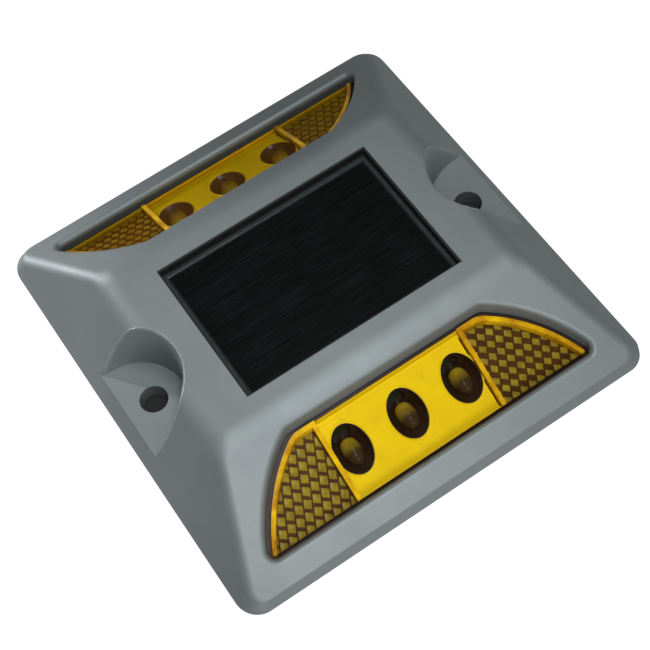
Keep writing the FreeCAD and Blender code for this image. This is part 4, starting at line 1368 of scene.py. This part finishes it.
def cell_material():
    """Almost black, with faint paler lines along the cell."""
    material = finish("solar_cells", (0.0022, 0.0030, 0.0030), (0.004, 0.0055, 0.0055),
                      patch_scale=80.0, roughness=0.3, spread=0.1, grain_scale=900.0,
                      grain_depth=0.003, Specular_IOR_Level=0.08)
    tree = material.node_tree
    place = tree.nodes.new("ShaderNodeTexCoord")
    stretch = tree.nodes.new("ShaderNodeMapping")
    stretch.inputs["Scale"].default_value = LINE_STRETCH
    lines = tree.nodes.new("ShaderNodeTexNoise")
    lines.inputs["Scale"].default_value = 1.0
    lines.inputs["Detail"].default_value = 3.0
    tree.links.new(place.outputs["Object"], stretch.inputs["Vector"])
    tree.links.new(stretch.outputs["Vector"], lines.inputs["Vector"])
    paler = ranged(tree, lines.outputs["Fac"], start=0.50, full=0.72)
    paint_over(material, paler, (0.011, 0.0135, 0.014))
    return material


cells = cell_material()
for index in range(1, 7):
    dress(f"solar_cell_{index}", cells)
print("cells dressed")

# %% Board and seals
backing = finish("panel_backing", (0.028, 0.036, 0.034), (0.018, 0.024, 0.022),
                 patch_scale=150.0, roughness=0.4, spread=0.15, grain_scale=1200.0,
                 grain_depth=0.01)
dress("solar_board", backing)
seal_black = finish("black_seal", (0.004, 0.004, 0.004), (0.008, 0.008, 0.008),
                    patch_scale=200.0, roughness=0.6, spread=0.1, grain_scale=1800.0,
                    grain_depth=0.03)
for node in ("window_seal", "lens_seal_front", "lens_seal_rear", "base_gasket"):
    dress(node, seal_black)
print("panel dressed")

# %% [markdown]
# A flat glossy border covers the edge of the board round the cells. Its inner edge is
# chamfered, and the chamfer along the back catches a thin line of light. Four rectangles of
# points, joined like rings, give that section all round.

# %% Build the panel border
SLAB_ANGLE = 12
BORDER_PLAY = 0.1 * MM
BORDER_DEEP = 0.38 * MM
BORDER_PROUD = 0.35 * MM
CHAMFER = 0.35 * MM
FINE_BEVEL = 0.08 * MM
border_green = finish("panel_border", (0.034, 0.046, 0.045), (0.020, 0.028, 0.028),
                      patch_scale=200.0, patch_amount=0.7, roughness=0.22, spread=0.1,
                      grain_scale=1200.0, grain_depth=0.01, Specular_IOR_Level=0.5)


def panel_border():
    """Chamfered frame between the cells and the edge of the cover."""
    least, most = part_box("solar_window")
    cell_least, cell_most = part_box("solar_cell_1")
    half_x, half_y = most.x - BORDER_PLAY, most.y - BORDER_PLAY
    inner_x, inner_y = cell_most.x + BORDER_PLAY, -cell_least.y + BORDER_PLAY
    bottom, top = least.z - BORDER_DEEP, least.z + BORDER_PROUD
    rings = [(half_x, half_y, bottom), (half_x, half_y, top),
             (inner_x + CHAMFER, inner_y + CHAMFER, top), (inner_x, inner_y, bottom)]
    mesh = bmesh.new()
    loops = [add_ring(mesh, [(-x, -y, z), (x, -y, z), (x, y, z), (-x, y, z)])
             for x, y, z in rings]
    for first, second in zip(loops, loops[1:] + loops[:1]):
        join_rings(mesh, first, second)
    bmesh.ops.recalc_face_normals(mesh, faces=mesh.faces)
    soften(mesh, FINE_BEVEL, 2)
    piece = link_piece("panel_border", mesh, [border_green], sharp=SLAB_ANGLE)
    return piece


print(panel_border().name)

# %% [markdown]
# The cover is rebuilt as a slab with softened edges, because its rim catches a fine line of
# light. The solid slab could be bevelled by a modifier, but a new slab can also be thinner,
# which leaves room for the border under it.

# %% Build the panel's cover
COVER_LIFT = 0.5 * MM
COVER_BEVEL = 0.3 * MM
clear_cover = clear_finish("clear_cover", (0.92, 0.97, 0.95), (0.80, 0.86, 0.84), mirror=0.006,
                           patch_scale=60.0, roughness=0.05, spread=0.03, grain_scale=500.0,
                           grain_depth=0.002)


def panel_cover():
    """Clear slab as wide and long as the solid one, with its top at the same height."""
    least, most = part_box("solar_window")
    mesh = bmesh.new()
    bmesh.ops.create_cube(mesh, size=1.0)
    span = most - least
    foot = least.z + COVER_LIFT
    for vertex in mesh.verts:
        vertex.co = Vector((vertex.co.x * span.x, vertex.co.y * span.y,
                            (foot + most.z) / 2 + vertex.co.z * (most.z - foot)))
    soften(mesh, COVER_BEVEL, 3)
    piece = link_piece("panel_cover", mesh, [clear_cover], sharp=SLAB_ANGLE)
    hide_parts("solar_window")
    return piece


print(panel_cover().name)

# %% [markdown]
# ## Base
#
# Underneath is a black moulded cover with four countersunk screws. The solid screws have
# plain heads, so each is rebuilt here with a cross recess, as such a screw has. The recess
# could be cut out of the solid head, but a face filled between the rim and the cross is
# simpler and has no stray edges.

# %% Base finishes
cover_black = finish("moulded_cover", (0.030, 0.030, 0.031), (0.020, 0.020, 0.021),
                     patch_scale=70.0, roughness=0.55, spread=0.15, grain_scale=1400.0,
                     grain_depth=0.05)
dress("bottom_cover", cover_black)
screw_steel = finish("screw_steel", (0.55, 0.55, 0.56), (0.42, 0.41, 0.40), patch_scale=900.0,
                     roughness=0.35, spread=0.15, grain_scale=3000.0, grain_depth=0.01,
                     Metallic=1.0)


print("base dressed")

# %% Build the screws
HEAD_RADIUS = 2.5 * MM
HEAD_SHARE = 0.98
HEAD_LEVEL = 0.02 * MM
ARM = 1.35 * MM
SLOT = 0.28 * MM
PIT_SHARE = 0.6
PIT_LEVEL = 0.8 * MM
SHANK_RADIUS = 1.5 * MM
SHANK_LEVEL = 1.0 * MM
SCREW_STEPS = 48
CROSS = [(ARM, -SLOT), (ARM, SLOT), (SLOT, SLOT), (SLOT, ARM), (-SLOT, ARM), (-SLOT, SLOT),
         (-ARM, SLOT), (-ARM, -SLOT), (-SLOT, -SLOT), (-SLOT, -ARM), (SLOT, -ARM),
         (SLOT, -SLOT)]


def screw_ring(mesh, x, y, radius, level):
    """Ring of vertices about one screw's upright axis."""
    return add_ring(mesh, circle(Vector((x, y, level)), ACROSS, Vector((0, 1, 0)), radius,
                                 SCREW_STEPS))


def add_screw(mesh, x, y, end_level):
    """One screw with its head down: cross recess, head and shank."""
    rim = screw_ring(mesh, x, y, HEAD_RADIUS * HEAD_SHARE, HEAD_LEVEL)
    mouth = add_ring(mesh, [(x + u, y + v, HEAD_LEVEL) for u, v in CROSS])
    pit = add_ring(mesh, [(x + u * PIT_SHARE, y + v * PIT_SHARE, PIT_LEVEL) for u, v in CROSS])
    join_rings(mesh, mouth, pit)
    mesh.faces.new(pit)
    edges = []
    for ring in (rim, mouth):
        for pair in zip(ring, ring[1:] + ring[:1]):
            edges.append(mesh.edges.get(pair) or mesh.edges.new(pair))
    bmesh.ops.triangle_fill(mesh, edges=edges, use_beauty=True)
    neck = screw_ring(mesh, x, y, SHANK_RADIUS, SHANK_LEVEL)
    end_ring = screw_ring(mesh, x, y, SHANK_RADIUS, end_level)
    join_rings(mesh, rim, neck)
    join_rings(mesh, neck, end_ring)
    mesh.faces.new(end_ring)


def screw_set():
    """The four screws of the cover as one piece."""
    least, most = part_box("cover_screws")
    mesh = bmesh.new()
    for x in (least.x + HEAD_RADIUS, most.x - HEAD_RADIUS):
        for y in (least.y + HEAD_RADIUS, most.y - HEAD_RADIUS):
            add_screw(mesh, x, y, most.z)
    bmesh.ops.recalc_face_normals(mesh, faces=mesh.faces)
    piece = link_piece("recessed_screws", mesh, [screw_steel])
    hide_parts("cover_screws")
    return piece


print(screw_set().name)

# %% [markdown]
# ## Inside
#
# The boards, the battery and the leads can't be seen from outside, but they are part of
# the model. They could be left plain. Each still gets the finish of its kind, so that the
# model also looks right when it is opened.

# %% Inside finishes
board_green = finish("board_green", (0.010, 0.090, 0.030), (0.008, 0.065, 0.022),
                     patch_scale=250.0, roughness=0.35, spread=0.1, grain_scale=1500.0,
                     grain_depth=0.01)
chip_black = finish("chip_black", (0.012, 0.012, 0.013), (0.018, 0.018, 0.019),
                    patch_scale=300.0, roughness=0.5, grain_scale=2500.0, grain_depth=0.02)
ferrite = finish("ferrite", (0.030, 0.028, 0.027), (0.020, 0.019, 0.018), patch_scale=300.0,
                 roughness=0.6, grain_scale=1500.0, grain_depth=0.04)
can_metal = finish("can_metal", (0.55, 0.55, 0.57), (0.48, 0.48, 0.50), patch_scale=200.0,
                   roughness=0.3, grain_scale=2500.0, grain_depth=0.01, Metallic=1.0)
nickel = finish("nickel_strip", (0.60, 0.57, 0.52), (0.50, 0.47, 0.43), patch_scale=200.0,
                roughness=0.32, grain_scale=2500.0, grain_depth=0.01, Metallic=1.0)
sleeve = finish("battery_sleeve", (0.020, 0.110, 0.050), (0.016, 0.090, 0.042),
                patch_scale=90.0, roughness=0.3, grain_scale=900.0, grain_depth=0.01)
nylon = finish("white_nylon", (0.70, 0.67, 0.58), (0.62, 0.59, 0.50), patch_scale=200.0,
               roughness=0.45, grain_scale=1500.0, grain_depth=0.02)
lead_red = finish("lead_red", (0.30, 0.012, 0.010), (0.24, 0.010, 0.008), patch_scale=300.0,
                  roughness=0.4, grain_scale=1500.0, grain_depth=0.02)
for node, material in {
        "lamp_board_front": board_green, "lamp_board_rear": board_green,
        "control_board": board_green, "control_chip": chip_black, "boost_coil": ferrite,
        "storage_capacitor": can_metal, "wire_connector": nylon, "battery": sleeve,
        "battery_tab_left": nickel, "battery_tab_right": nickel, "solar_leads": lead_red,
        "battery_leads": lead_red, "lamp_leads_front": lead_red,
        "lamp_leads_rear": lead_red}.items():
    dress(node, material)
print("inside dressed")
